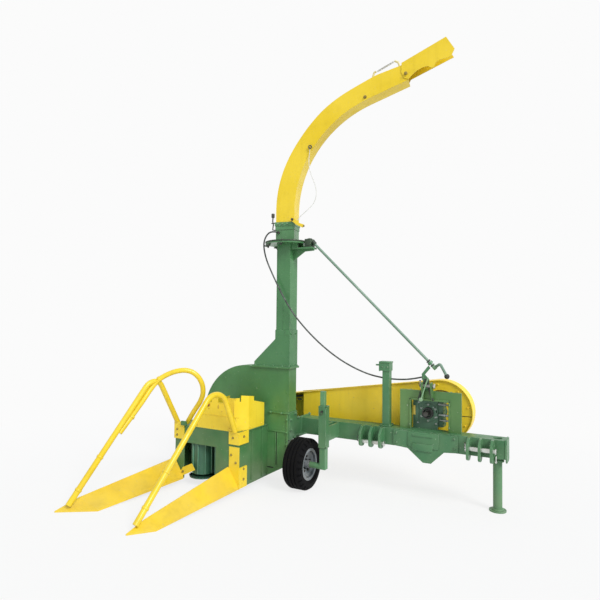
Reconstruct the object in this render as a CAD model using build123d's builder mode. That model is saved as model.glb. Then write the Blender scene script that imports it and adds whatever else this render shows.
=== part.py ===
"""Single-row forage harvester for a tractor's three-point hitch.

Millimetres. +X is the travel direction, +Y is to the left of it, +Z is up, and z = 0 is the ground.
Places are measured from the hitch: HITCH_X is the main beam's axis, HITCH_Y the middle of the lower links.
"""

import os
from math import asin, atan2, cos, degrees, radians, sin, sqrt, tan

from build123d import *

# --- datum and main sizes -------------------------------------------------------------------------
HITCH_X = -641.0
HITCH_Y = 725.0
PLATE = 12.0            # heavy welded plate
SHEET = 5.0             # casing and chute sheet
THIN = 3.0              # guards and covers
RUNNING = 0.06          # radial play of a shaft in its bearing
SLIDING = 1.0           # play of a telescoping tube, each side
HAIR = 0.3              # gap between faces that turn on each other

# --- main beam and hitch --------------------------------------------------------------------------
BEAM = 125.0
BEAM_WALL = 8.0
BEAM_Z = 426.0
BEAM_LEFT_Y = HITCH_Y + 567.0
EAR_PITCH = 76.0
EAR_SPREAD = 387.0      # from the power take-off to the middle ear of each set
EAR_T = 16.0
EAR_REACH = 88.0
EAR_DROP = 22.0         # how far the ears hang below the beam
LOWER_PIN_R = 14.0
LOWER_PIN_X = HITCH_X + 112.0
UPPER_HOLE_Z = 420.0
LOWER_HOLE_Z = 378.0

# --- gearbox mast, gearbox and power take-off -----------------------------------------------------
MAST_RIGHT_Y = HITCH_Y - 175.0
MAST_LEFT_Y = HITCH_Y + 270.0
MAST_TOP = 772.0
WINDOW_RIGHT_Y = HITCH_Y - 98.0
WINDOW_LEFT_Y = HITCH_Y + 186.0
WINDOW_TOP = 707.0
PTO_Y = HITCH_Y + 25.0
PTO_Z = 608.0
PTO_R = 17.46
PTO_REACH = 82.0
PTO_JOURNAL_R = 22.0
GEARBOX_FRONT_X = HITCH_X - 40.0
GEARBOX_BACK_X = HITCH_X - 146.0
OUTPUT_Y = HITCH_Y + 88.0
OUTPUT_R = 20.0
TOP_LINK_GAP = 54.0
TOP_LINK_PIN_R = 12.7
TOP_LINK_X = HITCH_X + 40.0
TOP_LINK_Z = MAST_TOP + 40.0

# --- rotor casing ---------------------------------------------------------------------------------
ROTOR_Y = HITCH_Y - 1385.0
ROTOR_Z = 470.0
CASE_R = 432.0
CASE_FRONT = HITCH_X + 250.0
CASE_DEPTH = 115.0
CASE_BACK = CASE_FRONT - CASE_DEPTH
CASE_SIDE_Y = HITCH_Y - 990.0
CASE_TOP = ROTOR_Z + CASE_R
CASE_SEAM = 555.0
CASE_STEP = 25.0
ROTOR_CLEARANCE = 10.0
ROTOR_T = 25.0
ROTOR_SHAFT_R = 25.0

# --- chute tower and turntable --------------------------------------------------------------------
TOWER_W = 122.0
TOWER_WALL = 4.0
TOWER_TOP = 1873.0
TRANSITION_TOP = 1122.0
TRANSITION_RIGHT_Y = ROTOR_Y + 72.0
FLANGE_T = 8.0
FLANGE_LIP = 16.0
TOWER_X = CASE_FRONT - CASE_DEPTH / 2
TOWER_Y = CASE_SIDE_Y - TOWER_W / 2
RING_R = 172.0
RING_T = 10.0
COLLAR_TOP = TOWER_TOP + 173.0
SHELF_TOP = TOWER_TOP - 32.0

# --- spout ----------------------------------------------------------------------------------------
SPOUT_YAW = 12.0        # the spout's plane, turned from +Y towards -X
SPOUT_W = 125.0
SPOUT_H = 152.0
SPOUT_WALL = 4.0
SPOUT_R = 885.0         # inner curve
SPOUT_BEND_Z = COLLAR_TOP + 84.0
SPOUT_END_SLOPE = 20.0
SPOUT_STRAIGHT = 318.0
# the back's places: reach, height above the bend, slope
SPOUT_BACK = ((126.0, 584.5, 57.0), (376.0, 835.5, 35.0), (661.0, 981.0, 23.0), (743.0, 1012.0, 16.0))
SPOUT_TIP = (914.0, 1058.0, 15.0)
HINGE_S = 936.0
HINGE_Z = SPOUT_BEND_Z + 983.0
FLAP_SLOPE = 25.4
FLAP_LENGTH = 362.0
FLAP_REAR = 8.0
FLAP_GAP = 2.0
FLAP_PIN_R = 8.0

# --- belt drive and guard -------------------------------------------------------------------------
DRIVE_R = 190.0
DRIVEN_R = 100.0
PULLEY_W = 60.0
PULLEY_X = HITCH_X - 205.0
BELT_T = 14.0
BELT_W = 50.0
GUARD_BACK = HITCH_X - 260.0
GUARD_FRONT = HITCH_X - 150.0
GUARD_DRIVE_R = 229.0
GUARD_DRIVEN_R = 142.0
GUARD_OPEN_Y = HITCH_Y - 1080.0

# --- feeder header --------------------------------------------------------------------------------
BOX_RIGHT_Y = HITCH_Y - 1785.0
BOX_LEFT_Y = HITCH_Y - 1180.0
BOX_FRONT = HITCH_X + 640.0
BOX_BOTTOM = 45.0
BOX_TOP = 450.0
BOX_SHEET = 6.0
PANEL_BOTTOM = 320.0
POST_W = 90.0           # front strips beside the throat
DRUM_X = HITCH_X + 540.0
DRUM_YS = (("right", HITCH_Y - 1586.0), ("left", HITCH_Y - 1360.0))
DRUM_BOTTOM = 85.0
DRUM_TOP = 316.0
DRUM_R = 83.0
DRUM_SHAFT_R = 20.0
DISC_R = 105.0
DISC_Z = 56.0
COVER_BOTTOM = BOX_TOP
COVER_REAR = HITCH_X + 300.0
COVER_RIGHT_Y = HITCH_Y - 1583.0
COVER_LEAN = 68.0       # how far the right side leans in by COVER_TOP
COVER_TOP = BOX_TOP + 200.0

# --- wheel and stand ------------------------------------------------------------------------------
WHEEL_R = 190.0
WHEEL_W = 157.0
WHEEL_X = HITCH_X + 270.0
WHEEL_Y = HITCH_Y - 854.0
RIM_R = 112.0
AXLE_R = 15.0
LEG_W = 46.0
LEG_Y = HITCH_Y - 675.0
LEG_TOP = 746.0
SLEEVE_WALL = 6.0
SLEEVE_BOTTOM = 331.0
SLEEVE_TOP = 639.0
STAND_R = 30.0
STAND_Y = HITCH_Y + 508.0
STAND_FOOT_R = 56.0

beam_front = HITCH_X + BEAM / 2
beam_back = HITCH_X - BEAM / 2
beam_top = BEAM_Z + BEAM / 2
beam_bottom = BEAM_Z - BEAM / 2
pieces = []


def keep(builder, name):
    """Label a finished piece and list it for export."""
    builder.part.label = name
    pieces.append(builder.part)
    return builder.part


def block(xs, ys, zs, mode=Mode.ADD):
    """A box between three pairs of coordinates, in the builder that is open."""
    with Locations(((xs[0] + xs[1]) / 2, (ys[0] + ys[1]) / 2, (zs[0] + zs[1]) / 2)):
        Box(abs(xs[1] - xs[0]), abs(ys[1] - ys[0]), abs(zs[1] - zs[0]), mode=mode)


def bar(start, end, radius):
    """A round bar from one point to another."""
    start, end = Vector(*start), Vector(*end)
    with BuildPart() as made:
        with BuildSketch(Plane(origin=start, z_dir=end - start)):
            Circle(radius)
        extrude(amount=(end - start).length)
    return made.part


def tube(points, radii, radius):
    """A round bar along straight runs joined by tangent arcs."""
    with BuildPart() as made:
        with BuildLine() as path:
            FilletPolyline(*points, radius=radii)
        start = Vector(*points[0])
        with BuildSketch(Plane(origin=start, z_dir=Vector(*points[1]) - start)):
            Circle(radius)
        sweep(path=path.line)
    return made.part


def plate_yz(x0, thickness, outline, holes=()):
    """A plate facing +X: its outline is (y, z) points, its holes (y, z, radius)."""
    with BuildPart() as made:
        with BuildSketch(Plane.YZ.offset(x0)):
            with BuildLine():
                Polyline(*outline, close=True)
            make_face()
            for y, z, radius in holes:
                with Locations((y, z)):
                    Circle(radius, mode=Mode.SUBTRACT)
        extrude(amount=thickness)
    return made.part


def plate_xz(y0, thickness, outline, holes=()):
    """A plate facing +Y, from y0 upwards: its outline is (x, z) points, its holes (x, z, radius)."""
    with BuildPart() as made:
        with BuildSketch(Plane.XZ.offset(-y0)):
            with BuildLine():
                Polyline(*outline, close=True)
            make_face()
            for x, z, radius in holes:
                with Locations((x, z)):
                    Circle(radius, mode=Mode.SUBTRACT)
        extrude(amount=-thickness)
    return made.part


def plate_xy(z0, thickness, outline):
    """A flat plate, from z0 upwards: its outline is (x, y) points."""
    with BuildPart() as made:
        with BuildSketch(Plane.XY.offset(z0)):
            with BuildLine():
                Polyline(*outline, close=True)
            make_face()
        extrude(amount=thickness)
    return made.part


def cord_radii(points):
    """The arc radius at each corner of a cord: 0.45 of the shorter run over the tangent of half the turn."""
    radii = []
    for before, here, after in zip(points, points[1:], points[2:]):
        run_in = Vector(*here) - Vector(*before)
        run_out = Vector(*after) - Vector(*here)
        turn = radians(run_in.get_angle(run_out))
        radii.append(0.45 * min(run_in.length, run_out.length) / tan(turn / 2))
    return radii


# =================================================================================================
# Main beam: a square tube across the machine, with its flange, end cap and stiffening plate
# =================================================================================================
flange_y = CASE_SIDE_Y
beam_right_y = flange_y + PLATE
with BuildPart() as main_beam:
    block((beam_back, beam_front), (beam_right_y, BEAM_LEFT_Y), (beam_bottom, beam_top))
    inner = BEAM / 2 - BEAM_WALL
    block((HITCH_X - inner, HITCH_X + inner), (beam_right_y, BEAM_LEFT_Y),
          (BEAM_Z - inner, BEAM_Z + inner), mode=Mode.SUBTRACT)
    with Locations((HITCH_X, STAND_Y, BEAM_Z)):
        Cylinder(STAND_R + SLIDING + SLEEVE_WALL, BEAM + 2, mode=Mode.SUBTRACT)
keep(main_beam, "main_beam")

with BuildPart() as beam_flange:
    add(plate_xz(flange_y, PLATE, [(beam_back - 20, beam_bottom - 20), (CASE_FRONT, beam_bottom - 20),
                                   (CASE_FRONT, CASE_SEAM), (CASE_BACK, CASE_SEAM),
                                   (CASE_BACK, beam_top + 10), (beam_back - 20, beam_top + 10)]))
    add(plate_xy(beam_bottom, PLATE, [(beam_front, beam_right_y), (CASE_FRONT - 60, beam_right_y),
                                      (beam_front, beam_right_y + 50)]))
    block((CASE_FRONT - CASE_DEPTH, CASE_FRONT), (flange_y - CASE_STEP, flange_y), (beam_bottom - 20, CASE_SEAM))
keep(beam_flange, "beam_flange")

with BuildPart() as beam_end_cap:
    add(plate_xz(BEAM_LEFT_Y, PLATE - 4, [(beam_back, beam_top), (beam_front, beam_top),
                                           (beam_front, beam_bottom - 12), (beam_front - 20, beam_bottom - 28),
                                           (beam_back + 20, beam_bottom - 28), (beam_back, beam_bottom - 12)]))
keep(beam_end_cap, "beam_end_cap")

front_plate_x = beam_front
with BuildPart() as front_plate:
    add(plate_yz(front_plate_x, 10, [(HITCH_Y - 204, beam_top - 6), (HITCH_Y + 261, beam_top - 6),
                                     (HITCH_Y + 261, beam_bottom + 4), (HITCH_Y + 164, beam_bottom - 4),
                                     (HITCH_Y + 72, beam_bottom - 94), (HITCH_Y + 14, beam_bottom - 94),
                                     (HITCH_Y - 97, beam_bottom - 4), (HITCH_Y - 204, beam_bottom + 4)]))
keep(front_plate, "front_plate")

# =================================================================================================
# Lower hitch: three ears a side, each set with its pin
# =================================================================================================
pin_heights = (("right", LOWER_HOLE_Z, -1), ("left", UPPER_HOLE_Z, 1))
ear_front = beam_front + EAR_REACH
for side, pin_z, sign in pin_heights:
    middle_y = PTO_Y + sign * EAR_SPREAD
    with BuildPart() as ears:
        for step in (-1, 0, 1):
            y0 = middle_y + step * EAR_PITCH - EAR_T / 2
            with BuildSketch(Plane.XZ.offset(-y0)) as profile:
                with BuildLine():
                    Polyline((beam_front, beam_top), (beam_front + 42, beam_top), (ear_front, UPPER_HOLE_Z + 25),
                             (ear_front, beam_bottom - 8), (ear_front - 30, beam_bottom - EAR_DROP),
                             (beam_front + 24, beam_bottom - EAR_DROP), (beam_front, beam_bottom - 4), close=True)
                make_face()
                fillet(profile.vertices().group_by(Axis.X)[-1], 22)
                with Locations((LOWER_PIN_X, pin_z)):
                    Circle(LOWER_PIN_R, mode=Mode.SUBTRACT)
            extrude(amount=-EAR_T)
    keep(ears, f"hitch_ears_{side}")

    reach = EAR_PITCH + EAR_T / 2 + 14
    with BuildPart() as pin:
        add(bar((LOWER_PIN_X, middle_y - reach, pin_z), (LOWER_PIN_X, middle_y + reach, pin_z), LOWER_PIN_R))
    keep(pin, f"hitch_pin_{side}")

# =================================================================================================
# Gearbox mast: an upright frame on the beam, with the top-link ears and their pin
# =================================================================================================
with BuildPart() as gearbox_mast:
    add(plate_yz(HITCH_X - PLATE / 2, PLATE, [(MAST_RIGHT_Y, beam_top), (MAST_RIGHT_Y, MAST_TOP),
                                              (MAST_LEFT_Y, MAST_TOP), (MAST_LEFT_Y, beam_top),
                                              (WINDOW_LEFT_Y, beam_top), (WINDOW_LEFT_Y, WINDOW_TOP),
                                              (WINDOW_RIGHT_Y, WINDOW_TOP), (WINDOW_RIGHT_Y, beam_top)]))
    rib_back = GEARBOX_FRONT_X
    for y0, y1 in ((WINDOW_RIGHT_Y - 10, WINDOW_RIGHT_Y), (WINDOW_LEFT_Y, WINDOW_LEFT_Y + 10)):
        block((rib_back, HITCH_X - PLATE / 2), (y0, y1), (beam_top, MAST_TOP))
keep(gearbox_mast, "gearbox_mast")

ear_x0 = HITCH_X + PLATE / 2
with BuildPart() as top_link_ears:
    for y0 in (PTO_Y + 10 - TOP_LINK_GAP / 2 - PLATE, PTO_Y + 10 + TOP_LINK_GAP / 2):
        add(plate_xz(y0, PLATE, [(ear_x0, WINDOW_TOP), (ear_x0 + 20, WINDOW_TOP), (TOP_LINK_X + 24, TOP_LINK_Z - 20),
                                 (TOP_LINK_X + 24, TOP_LINK_Z + 24), (TOP_LINK_X - 18, TOP_LINK_Z + 24),
                                 (ear_x0, MAST_TOP)],
                     holes=[(TOP_LINK_X, TOP_LINK_Z, TOP_LINK_PIN_R)]))
keep(top_link_ears, "top_link_ears")

top_link_y = PTO_Y + 10
with BuildPart() as top_link_pin:
    reach = TOP_LINK_GAP / 2 + PLATE + 12
    add(bar((TOP_LINK_X, top_link_y - reach, TOP_LINK_Z), (TOP_LINK_X, top_link_y + reach, TOP_LINK_Z),
            TOP_LINK_PIN_R))
keep(top_link_pin, "top_link_pin")

# =================================================================================================
# Gearbox: a cast body behind the mast, with the power take-off stub in front
# =================================================================================================
gear_y0, gear_y1 = HITCH_Y - 90, HITCH_Y + 92
with BuildPart() as gearbox:
    block((GEARBOX_FRONT_X - 14, GEARBOX_FRONT_X), (gear_y0, gear_y1), (beam_top, WINDOW_TOP))
    block((GEARBOX_BACK_X, GEARBOX_FRONT_X - 14), (gear_y0 + 12, OUTPUT_Y + 40), (beam_top + 20, WINDOW_TOP - 6))
    with BuildSketch(Plane.YZ.offset(GEARBOX_FRONT_X)):
        with Locations((PTO_Y, PTO_Z)):
            Circle(52)
    extrude(amount=8)
    for y, radius, x0, x1 in ((PTO_Y, PTO_JOURNAL_R, GEARBOX_FRONT_X - 50, GEARBOX_FRONT_X + 10),
                              (OUTPUT_Y, OUTPUT_R, GEARBOX_BACK_X - 1, GEARBOX_BACK_X + 50)):
        with BuildSketch(Plane.YZ.offset(x0)):
            with Locations((y, PTO_Z)):
                Circle(radius + RUNNING)
        extrude(amount=x1 - x0, mode=Mode.SUBTRACT)
keep(gearbox, "gearbox")

shield_x = GEARBOX_FRONT_X + 8
with BuildPart() as pto_shield:
    with BuildSketch(Plane.YZ.offset(shield_x)):
        with Locations((PTO_Y, PTO_Z)):
            Circle(38)
            Circle(30, mode=Mode.SUBTRACT)
    extrude(amount=28)
keep(pto_shield, "pto_shield")

with BuildPart() as pto_shaft:
    pto_start, pto_shoulder = GEARBOX_FRONT_X - 50, GEARBOX_FRONT_X + 20
    add(bar((pto_start, PTO_Y, PTO_Z), (pto_shoulder, PTO_Y, PTO_Z), PTO_JOURNAL_R))
    add(bar((pto_shoulder, PTO_Y, PTO_Z), (GEARBOX_FRONT_X + PTO_REACH, PTO_Y, PTO_Z), PTO_R))
keep(pto_shaft, "pto_shaft")

# =================================================================================================
# Belt drive: two grooved pulleys and their belts, in a sheet guard behind the beam
# =================================================================================================
def pulley(y, z, radius, shaft_r, shaft_start, shaft_end):
    """A solid pulley on its shaft, turning about X."""
    with BuildPart() as made:
        with BuildSketch(Plane.YZ.offset(PULLEY_X - PULLEY_W / 2)):
            with Locations((y, z)):
                Circle(radius)
        extrude(amount=PULLEY_W)
        add(bar((shaft_start, y, z), (shaft_end, y, z), shaft_r))
    return made


keep(pulley(OUTPUT_Y, PTO_Z, DRIVE_R, OUTPUT_R, PULLEY_X - PULLEY_W / 2 - 10, GEARBOX_BACK_X + 50), "drive_pulley")

rotor_front = CASE_FRONT - SHEET - 30
rotor_back = rotor_front - ROTOR_T
keep(pulley(ROTOR_Y, ROTOR_Z, DRIVEN_R, ROTOR_SHAFT_R, PULLEY_X - PULLEY_W / 2 - 10, rotor_back), "driven_pulley")


def belt_outline(extra, drive_r, driven_r):
    """The belt's run round both pulleys, or a guard's outline, as two circles and their tangent lines."""
    reach_y, reach_z = ROTOR_Y - OUTPUT_Y, ROTOR_Z - PTO_Z
    span = sqrt(reach_y ** 2 + reach_z ** 2)
    along = degrees(atan2(reach_z, reach_y))
    lean = degrees(asin((drive_r - driven_r) / span))
    big, small = drive_r + extra, driven_r + extra
    upper, lower = radians(along - 90 + lean), radians(along + 90 - lean)
    with BuildSketch() as made:
        with Locations((OUTPUT_Y, PTO_Z)):
            Circle(big)
        with Locations((ROTOR_Y, ROTOR_Z)):
            Circle(small)
        with BuildLine():
            Polyline((OUTPUT_Y + big * cos(upper), PTO_Z + big * sin(upper)),
                     (ROTOR_Y + small * cos(upper), ROTOR_Z + small * sin(upper)),
                     (ROTOR_Y + small * cos(lower), ROTOR_Z + small * sin(lower)),
                     (OUTPUT_Y + big * cos(lower), PTO_Z + big * sin(lower)), close=True)
        make_face()
    return made.sketch


def on_yz(sketch, x0):
    """A flat sketch stood up to face +X at x0."""
    return Plane.YZ.offset(x0) * sketch


belt_outer = belt_outline(BELT_T, DRIVE_R, DRIVEN_R)
belt_inner = belt_outline(HAIR, DRIVE_R, DRIVEN_R)
with BuildPart() as drive_belts:
    extrude(on_yz(belt_outer, PULLEY_X - BELT_W / 2), amount=BELT_W)
    extrude(on_yz(belt_inner, PULLEY_X - BELT_W / 2 - 1), amount=BELT_W + 2, mode=Mode.SUBTRACT)
keep(drive_belts, "drive_belts")

guard_outer = belt_outline(0, GUARD_DRIVE_R, GUARD_DRIVEN_R)
guard_inner = belt_outline(-THIN, GUARD_DRIVE_R, GUARD_DRIVEN_R)
with BuildPart() as guard_tray:
    extrude(on_yz(guard_outer, GUARD_BACK), amount=GUARD_FRONT - GUARD_BACK)
    extrude(on_yz(guard_inner, GUARD_BACK + THIN), amount=GUARD_FRONT - GUARD_BACK, mode=Mode.SUBTRACT)
keep(guard_tray, "belt_guard_tray")

guard_plate_x = GUARD_FRONT - 14
with BuildPart() as guard_front:
    extrude(on_yz(guard_inner, guard_plate_x), amount=THIN)
    block((guard_plate_x - 5, GUARD_FRONT), (ROTOR_Y - GUARD_DRIVEN_R, GUARD_OPEN_Y), (0, TOWER_TOP),
          mode=Mode.SUBTRACT)
    with BuildSketch(Plane.YZ.offset(guard_plate_x - 1)):
        with Locations((OUTPUT_Y, PTO_Z)):
            Circle(OUTPUT_R + 12)
    extrude(amount=THIN + 2, mode=Mode.SUBTRACT)
keep(guard_front, "belt_guard_front")

with BuildPart() as guard_brackets:
    for y0 in (HITCH_Y - 800, HITCH_Y - 240):
        block((guard_plate_x + THIN, beam_back), (y0, y0 + 50), (beam_top - 40, beam_top - 32))
keep(guard_brackets, "guard_brackets")

# =================================================================================================
# Rotor casing: front and back sheets and the band between them, open upwards into the chute
# =================================================================================================
case_left_low = CASE_SIDE_Y - CASE_STEP


def case_outline(inset=0.0):
    """The casing's outline in Y and Z: a scroll round the rotor, a throat up to the chute, a square heel."""
    with BuildSketch() as made:
        with Locations((ROTOR_Y, ROTOR_Z)):
            Circle(CASE_R - inset)
        with Locations((case_left_low - inset, 0)):
            Rectangle(CASE_R, 3 * CASE_R, align=(Align.MIN, Align.MIN), mode=Mode.SUBTRACT)
        with BuildLine():
            Polyline((ROTOR_Y, ROTOR_Z), (TRANSITION_RIGHT_Y + inset, ROTOR_Z), (TRANSITION_RIGHT_Y + inset, CASE_TOP),
                     (CASE_SIDE_Y - inset, CASE_TOP), (CASE_SIDE_Y - inset, CASE_SEAM + inset),
                     (case_left_low - inset, CASE_SEAM + inset), (case_left_low - inset, 135 + inset),
                     (ROTOR_Y + 200, BOX_BOTTOM - 2 + inset), (ROTOR_Y, BOX_BOTTOM - 5 + inset), close=True)
        make_face()
    return made.sketch


case_outer = case_outline()
case_inner = case_outline(SHEET)
feed_mouth = ((HITCH_Y - 1640, HITCH_Y - 1440), (150, 330))
with BuildPart() as case_front:
    extrude(on_yz(case_outer, CASE_FRONT - SHEET), amount=SHEET)
    block((CASE_FRONT - 20, CASE_FRONT + 1), feed_mouth[0], feed_mouth[1], mode=Mode.SUBTRACT)
keep(case_front, "casing_front")

with BuildPart() as case_back:
    extrude(on_yz(case_outer, CASE_BACK), amount=SHEET)
    with BuildSketch(Plane.YZ.offset(CASE_BACK - 1)):
        with Locations((ROTOR_Y, ROTOR_Z)):
            Circle(ROTOR_SHAFT_R + 12)
    extrude(amount=SHEET + 2, mode=Mode.SUBTRACT)
keep(case_back, "casing_back")

with BuildPart() as case_band:
    extrude(on_yz(case_outer, CASE_BACK + SHEET), amount=CASE_DEPTH - 2 * SHEET)
    extrude(on_yz(case_inner, CASE_BACK), amount=CASE_DEPTH, mode=Mode.SUBTRACT)
    block((CASE_BACK, CASE_FRONT), (TRANSITION_RIGHT_Y + SHEET, CASE_SIDE_Y - SHEET), (CASE_TOP - SHEET - 1, CASE_TOP + 1),
          mode=Mode.SUBTRACT)
    lip_ys = (TRANSITION_RIGHT_Y - FLANGE_LIP, CASE_SIDE_Y + FLANGE_LIP)
    lip_zs = (CASE_TOP - FLANGE_T, CASE_TOP)
    block((CASE_BACK - FLANGE_LIP, CASE_BACK), lip_ys, lip_zs)
    block((CASE_FRONT, CASE_FRONT + FLANGE_LIP), lip_ys, lip_zs)
    block((CASE_BACK - FLANGE_LIP, CASE_FRONT + FLANGE_LIP), (CASE_SIDE_Y, lip_ys[1]), lip_zs)
keep(case_band, "casing_band")

with BuildPart() as bearing_tube:
    tube_start = GUARD_FRONT + 30
    add(bar((tube_start, ROTOR_Y, ROTOR_Z), (CASE_BACK, ROTOR_Y, ROTOR_Z), 68))
    add(bar((CASE_BACK - PLATE, ROTOR_Y, ROTOR_Z), (CASE_BACK, ROTOR_Y, ROTOR_Z), 110))
    with BuildSketch(Plane.YZ.offset(tube_start - 1)):
        with Locations((ROTOR_Y, ROTOR_Z)):
            Circle(ROTOR_SHAFT_R + RUNNING)
    extrude(amount=CASE_BACK - tube_start + 2, mode=Mode.SUBTRACT)
keep(bearing_tube, "bearing_tube")

rotor_r = min(CASE_R, case_left_low - ROTOR_Y) - SHEET - ROTOR_CLEARANCE
with BuildPart() as rotor:
    with BuildSketch(Plane.YZ.offset(rotor_back)):
        with Locations((ROTOR_Y, ROTOR_Z)):
            Circle(rotor_r)
    extrude(amount=ROTOR_T)
keep(rotor, "chopping_rotor")

with BuildPart() as casing_skid:
    skid_y0, skid_y1 = BOX_RIGHT_Y + 90, ROTOR_Y + 60
    block((CASE_BACK, CASE_FRONT), (skid_y0, skid_y1), (0, 8))
    for y0 in (skid_y0, skid_y1 - 8):
        z1 = ROTOR_Z - sqrt(CASE_R ** 2 - (y0 - ROTOR_Y) ** 2)
        block((CASE_BACK, CASE_FRONT), (y0, y0 + 8), (8, z1 + 2))
    extrude(on_yz(case_outer, CASE_BACK), amount=CASE_DEPTH, mode=Mode.SUBTRACT)
keep(casing_skid, "casing_skid")

# =================================================================================================
# Chute: transition, square tower and the turntable on top
# =================================================================================================
tower_back, tower_front = TOWER_X - CASE_DEPTH / 2, TOWER_X + CASE_DEPTH / 2
tower_right, tower_left = TOWER_Y - TOWER_W / 2, TOWER_Y + TOWER_W / 2
lap = 70.0
with BuildPart() as chute_transition:
    outer = [(TRANSITION_RIGHT_Y, CASE_TOP), (tower_left + SHEET, CASE_TOP), (tower_left + SHEET, TRANSITION_TOP + lap),
             (tower_right - SHEET, TRANSITION_TOP + lap), (tower_right - SHEET, TRANSITION_TOP),
             (TRANSITION_RIGHT_Y, CASE_TOP + 35)]
    inside = [(TRANSITION_RIGHT_Y + SHEET, CASE_TOP - 1), (tower_left, CASE_TOP - 1),
              (tower_left, TRANSITION_TOP + lap + 1), (tower_right, TRANSITION_TOP + lap + 1),
              (tower_right, TRANSITION_TOP - 2), (TRANSITION_RIGHT_Y + SHEET, CASE_TOP + 33)]
    add(plate_yz(tower_back - SHEET, CASE_DEPTH + 2 * SHEET, outer))
    block((tower_back - FLANGE_LIP, tower_front + FLANGE_LIP),
          (TRANSITION_RIGHT_Y - FLANGE_LIP, tower_left + FLANGE_LIP), (CASE_TOP, CASE_TOP + FLANGE_T))
    add(plate_yz(tower_back, CASE_DEPTH, inside), mode=Mode.SUBTRACT)
keep(chute_transition, "chute_transition")

with BuildPart() as chute_tower:
    block((tower_back, tower_front), (tower_right, tower_left), (TRANSITION_TOP, TOWER_TOP))
    block((tower_back + TOWER_WALL, tower_front - TOWER_WALL), (tower_right + TOWER_WALL, tower_left - TOWER_WALL),
          (TRANSITION_TOP - 1, TOWER_TOP + 1), mode=Mode.SUBTRACT)
keep(chute_tower, "chute_tower")

throat = (CASE_DEPTH - 2 * TOWER_WALL, TOWER_W - 2 * TOWER_WALL)
shelf_end = TOWER_Y + RING_R + 70
with BuildPart() as ring_seat:
    with Locations((TOWER_X, TOWER_Y, TOWER_TOP + RING_T / 2)):
        Cylinder(RING_R, RING_T)
        Box(throat[0], throat[1], RING_T + 2, mode=Mode.SUBTRACT)
    block((TOWER_X - 45, TOWER_X + 45), (tower_left, shelf_end), (SHELF_TOP - PLATE, SHELF_TOP))
    block((TOWER_X - 45, TOWER_X - 37), (tower_left, tower_left + 60), (SHELF_TOP, TOWER_TOP))
    block((TOWER_X + 37, TOWER_X + 45), (tower_left, tower_left + 60), (SHELF_TOP, TOWER_TOP))
    add(plate_yz(TOWER_X - 5, 10, [(tower_left, SHELF_TOP - PLATE), (shelf_end, SHELF_TOP - PLATE),
                                   (shelf_end, SHELF_TOP - 26), (tower_left + 100, SHELF_TOP - 29),
                                   (tower_left + 29, SHELF_TOP - 77), (tower_left, SHELF_TOP - 97)]))
keep(ring_seat, "ring_seat")

# Crank rod: from the worm box down to an eye above the mast, in the driver's reach
ROD_R = 10.0
ROD_TOP = (TOWER_X, TOWER_Y + RING_R + 47, TOWER_TOP + 20)
ROD_END = (HITCH_X - 30, HITCH_Y + 72, MAST_TOP + 168)
rod_way = (Vector(*ROD_END) - Vector(*ROD_TOP)).normalized()
rod_up = (Vector(0, 0, 1) - rod_way * rod_way.Z).normalized()
rod_side = rod_way.cross(rod_up)


def on_rod(along, up=0.0, side=0.0):
    """A point beside the crank rod, from its lower end."""
    return tuple(Vector(*ROD_END) + rod_way * along + rod_up * up + rod_side * side)


with BuildPart() as worm_box:
    block((TOWER_X - 40, TOWER_X + 40), (TOWER_Y + RING_R + 6, TOWER_Y + RING_R + 54), (SHELF_TOP, SHELF_TOP + 64))
    rod_seat = tuple(Vector(*ROD_TOP) + rod_way * 40)
    add(bar(ROD_TOP, rod_seat, ROD_R + 8))
    bore_end = tuple(Vector(*ROD_TOP) + rod_way * 52)
    add(bar(tuple(Vector(*ROD_TOP) - rod_way), bore_end, ROD_R + RUNNING), mode=Mode.SUBTRACT)
keep(worm_box, "worm_box")

support_x = HITCH_X - 30
support_shape = ((-16, 8), (-12, 58), (-22, 116), (4, 150), (28, 180), (42, 162), (2, 114), (34, 78), (36, 8))
with BuildPart() as crank_support:
    block((support_x, HITCH_X - PLATE / 2), (HITCH_Y - 16, HITCH_Y + 36), (MAST_TOP - 42, MAST_TOP + 18))
    add(plate_yz(support_x, 8, [(HITCH_Y + y, MAST_TOP + rise) for y, rise in support_shape]))
    block((HITCH_X - 50, support_x + 8), (HITCH_Y - 13, HITCH_Y + 1), (MAST_TOP + 84, MAST_TOP + 104))
    add(bar(on_rod(-54), on_rod(-36), ROD_R + 10))
    add(bar(on_rod(-70), on_rod(-20), ROD_R + RUNNING), mode=Mode.SUBTRACT)
keep(crank_support, "crank_support")

arm_end, grip_end = on_rod(4, 50, 50), on_rod(96, 22, 28)
with BuildPart() as crank_rod:
    add(tube([ROD_TOP, ROD_END, arm_end, grip_end], [11, 11], ROD_R))
keep(crank_rod, "crank_rod")

knob_way = (Vector(*grip_end) - Vector(*arm_end)).normalized()
with BuildPart() as crank_knob:
    with Locations(tuple(Vector(*grip_end) + knob_way * 6)):
        Sphere(19)
    add(bar(tuple(Vector(*grip_end) - knob_way * 40), grip_end, ROD_R), mode=Mode.SUBTRACT)
keep(crank_knob, "crank_knob")

# =================================================================================================
# Spout: turning ring, collar, curved spout and the deflector at its end
# =================================================================================================
yaw = radians(SPOUT_YAW)
spout_plane = Plane(origin=(TOWER_X, TOWER_Y, 0), x_dir=(-sin(yaw), cos(yaw), 0), z_dir=(cos(yaw), sin(yaw), 0))
ring_z = TOWER_TOP + RING_T + HAIR
ring_top = ring_z + RING_T + 2


def square_tube(width, height, wall, z0, z1):
    """A rectangular tube standing on the turntable, square to the spout's plane."""
    with BuildPart() as made:
        with BuildSketch(Plane(origin=(TOWER_X, TOWER_Y, z0), x_dir=spout_plane.x_dir, z_dir=(0, 0, 1))):
            Rectangle(height, width)
            Rectangle(height - 2 * wall, width - 2 * wall, mode=Mode.SUBTRACT)
        extrude(amount=z1 - z0)
    return made.part


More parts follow.
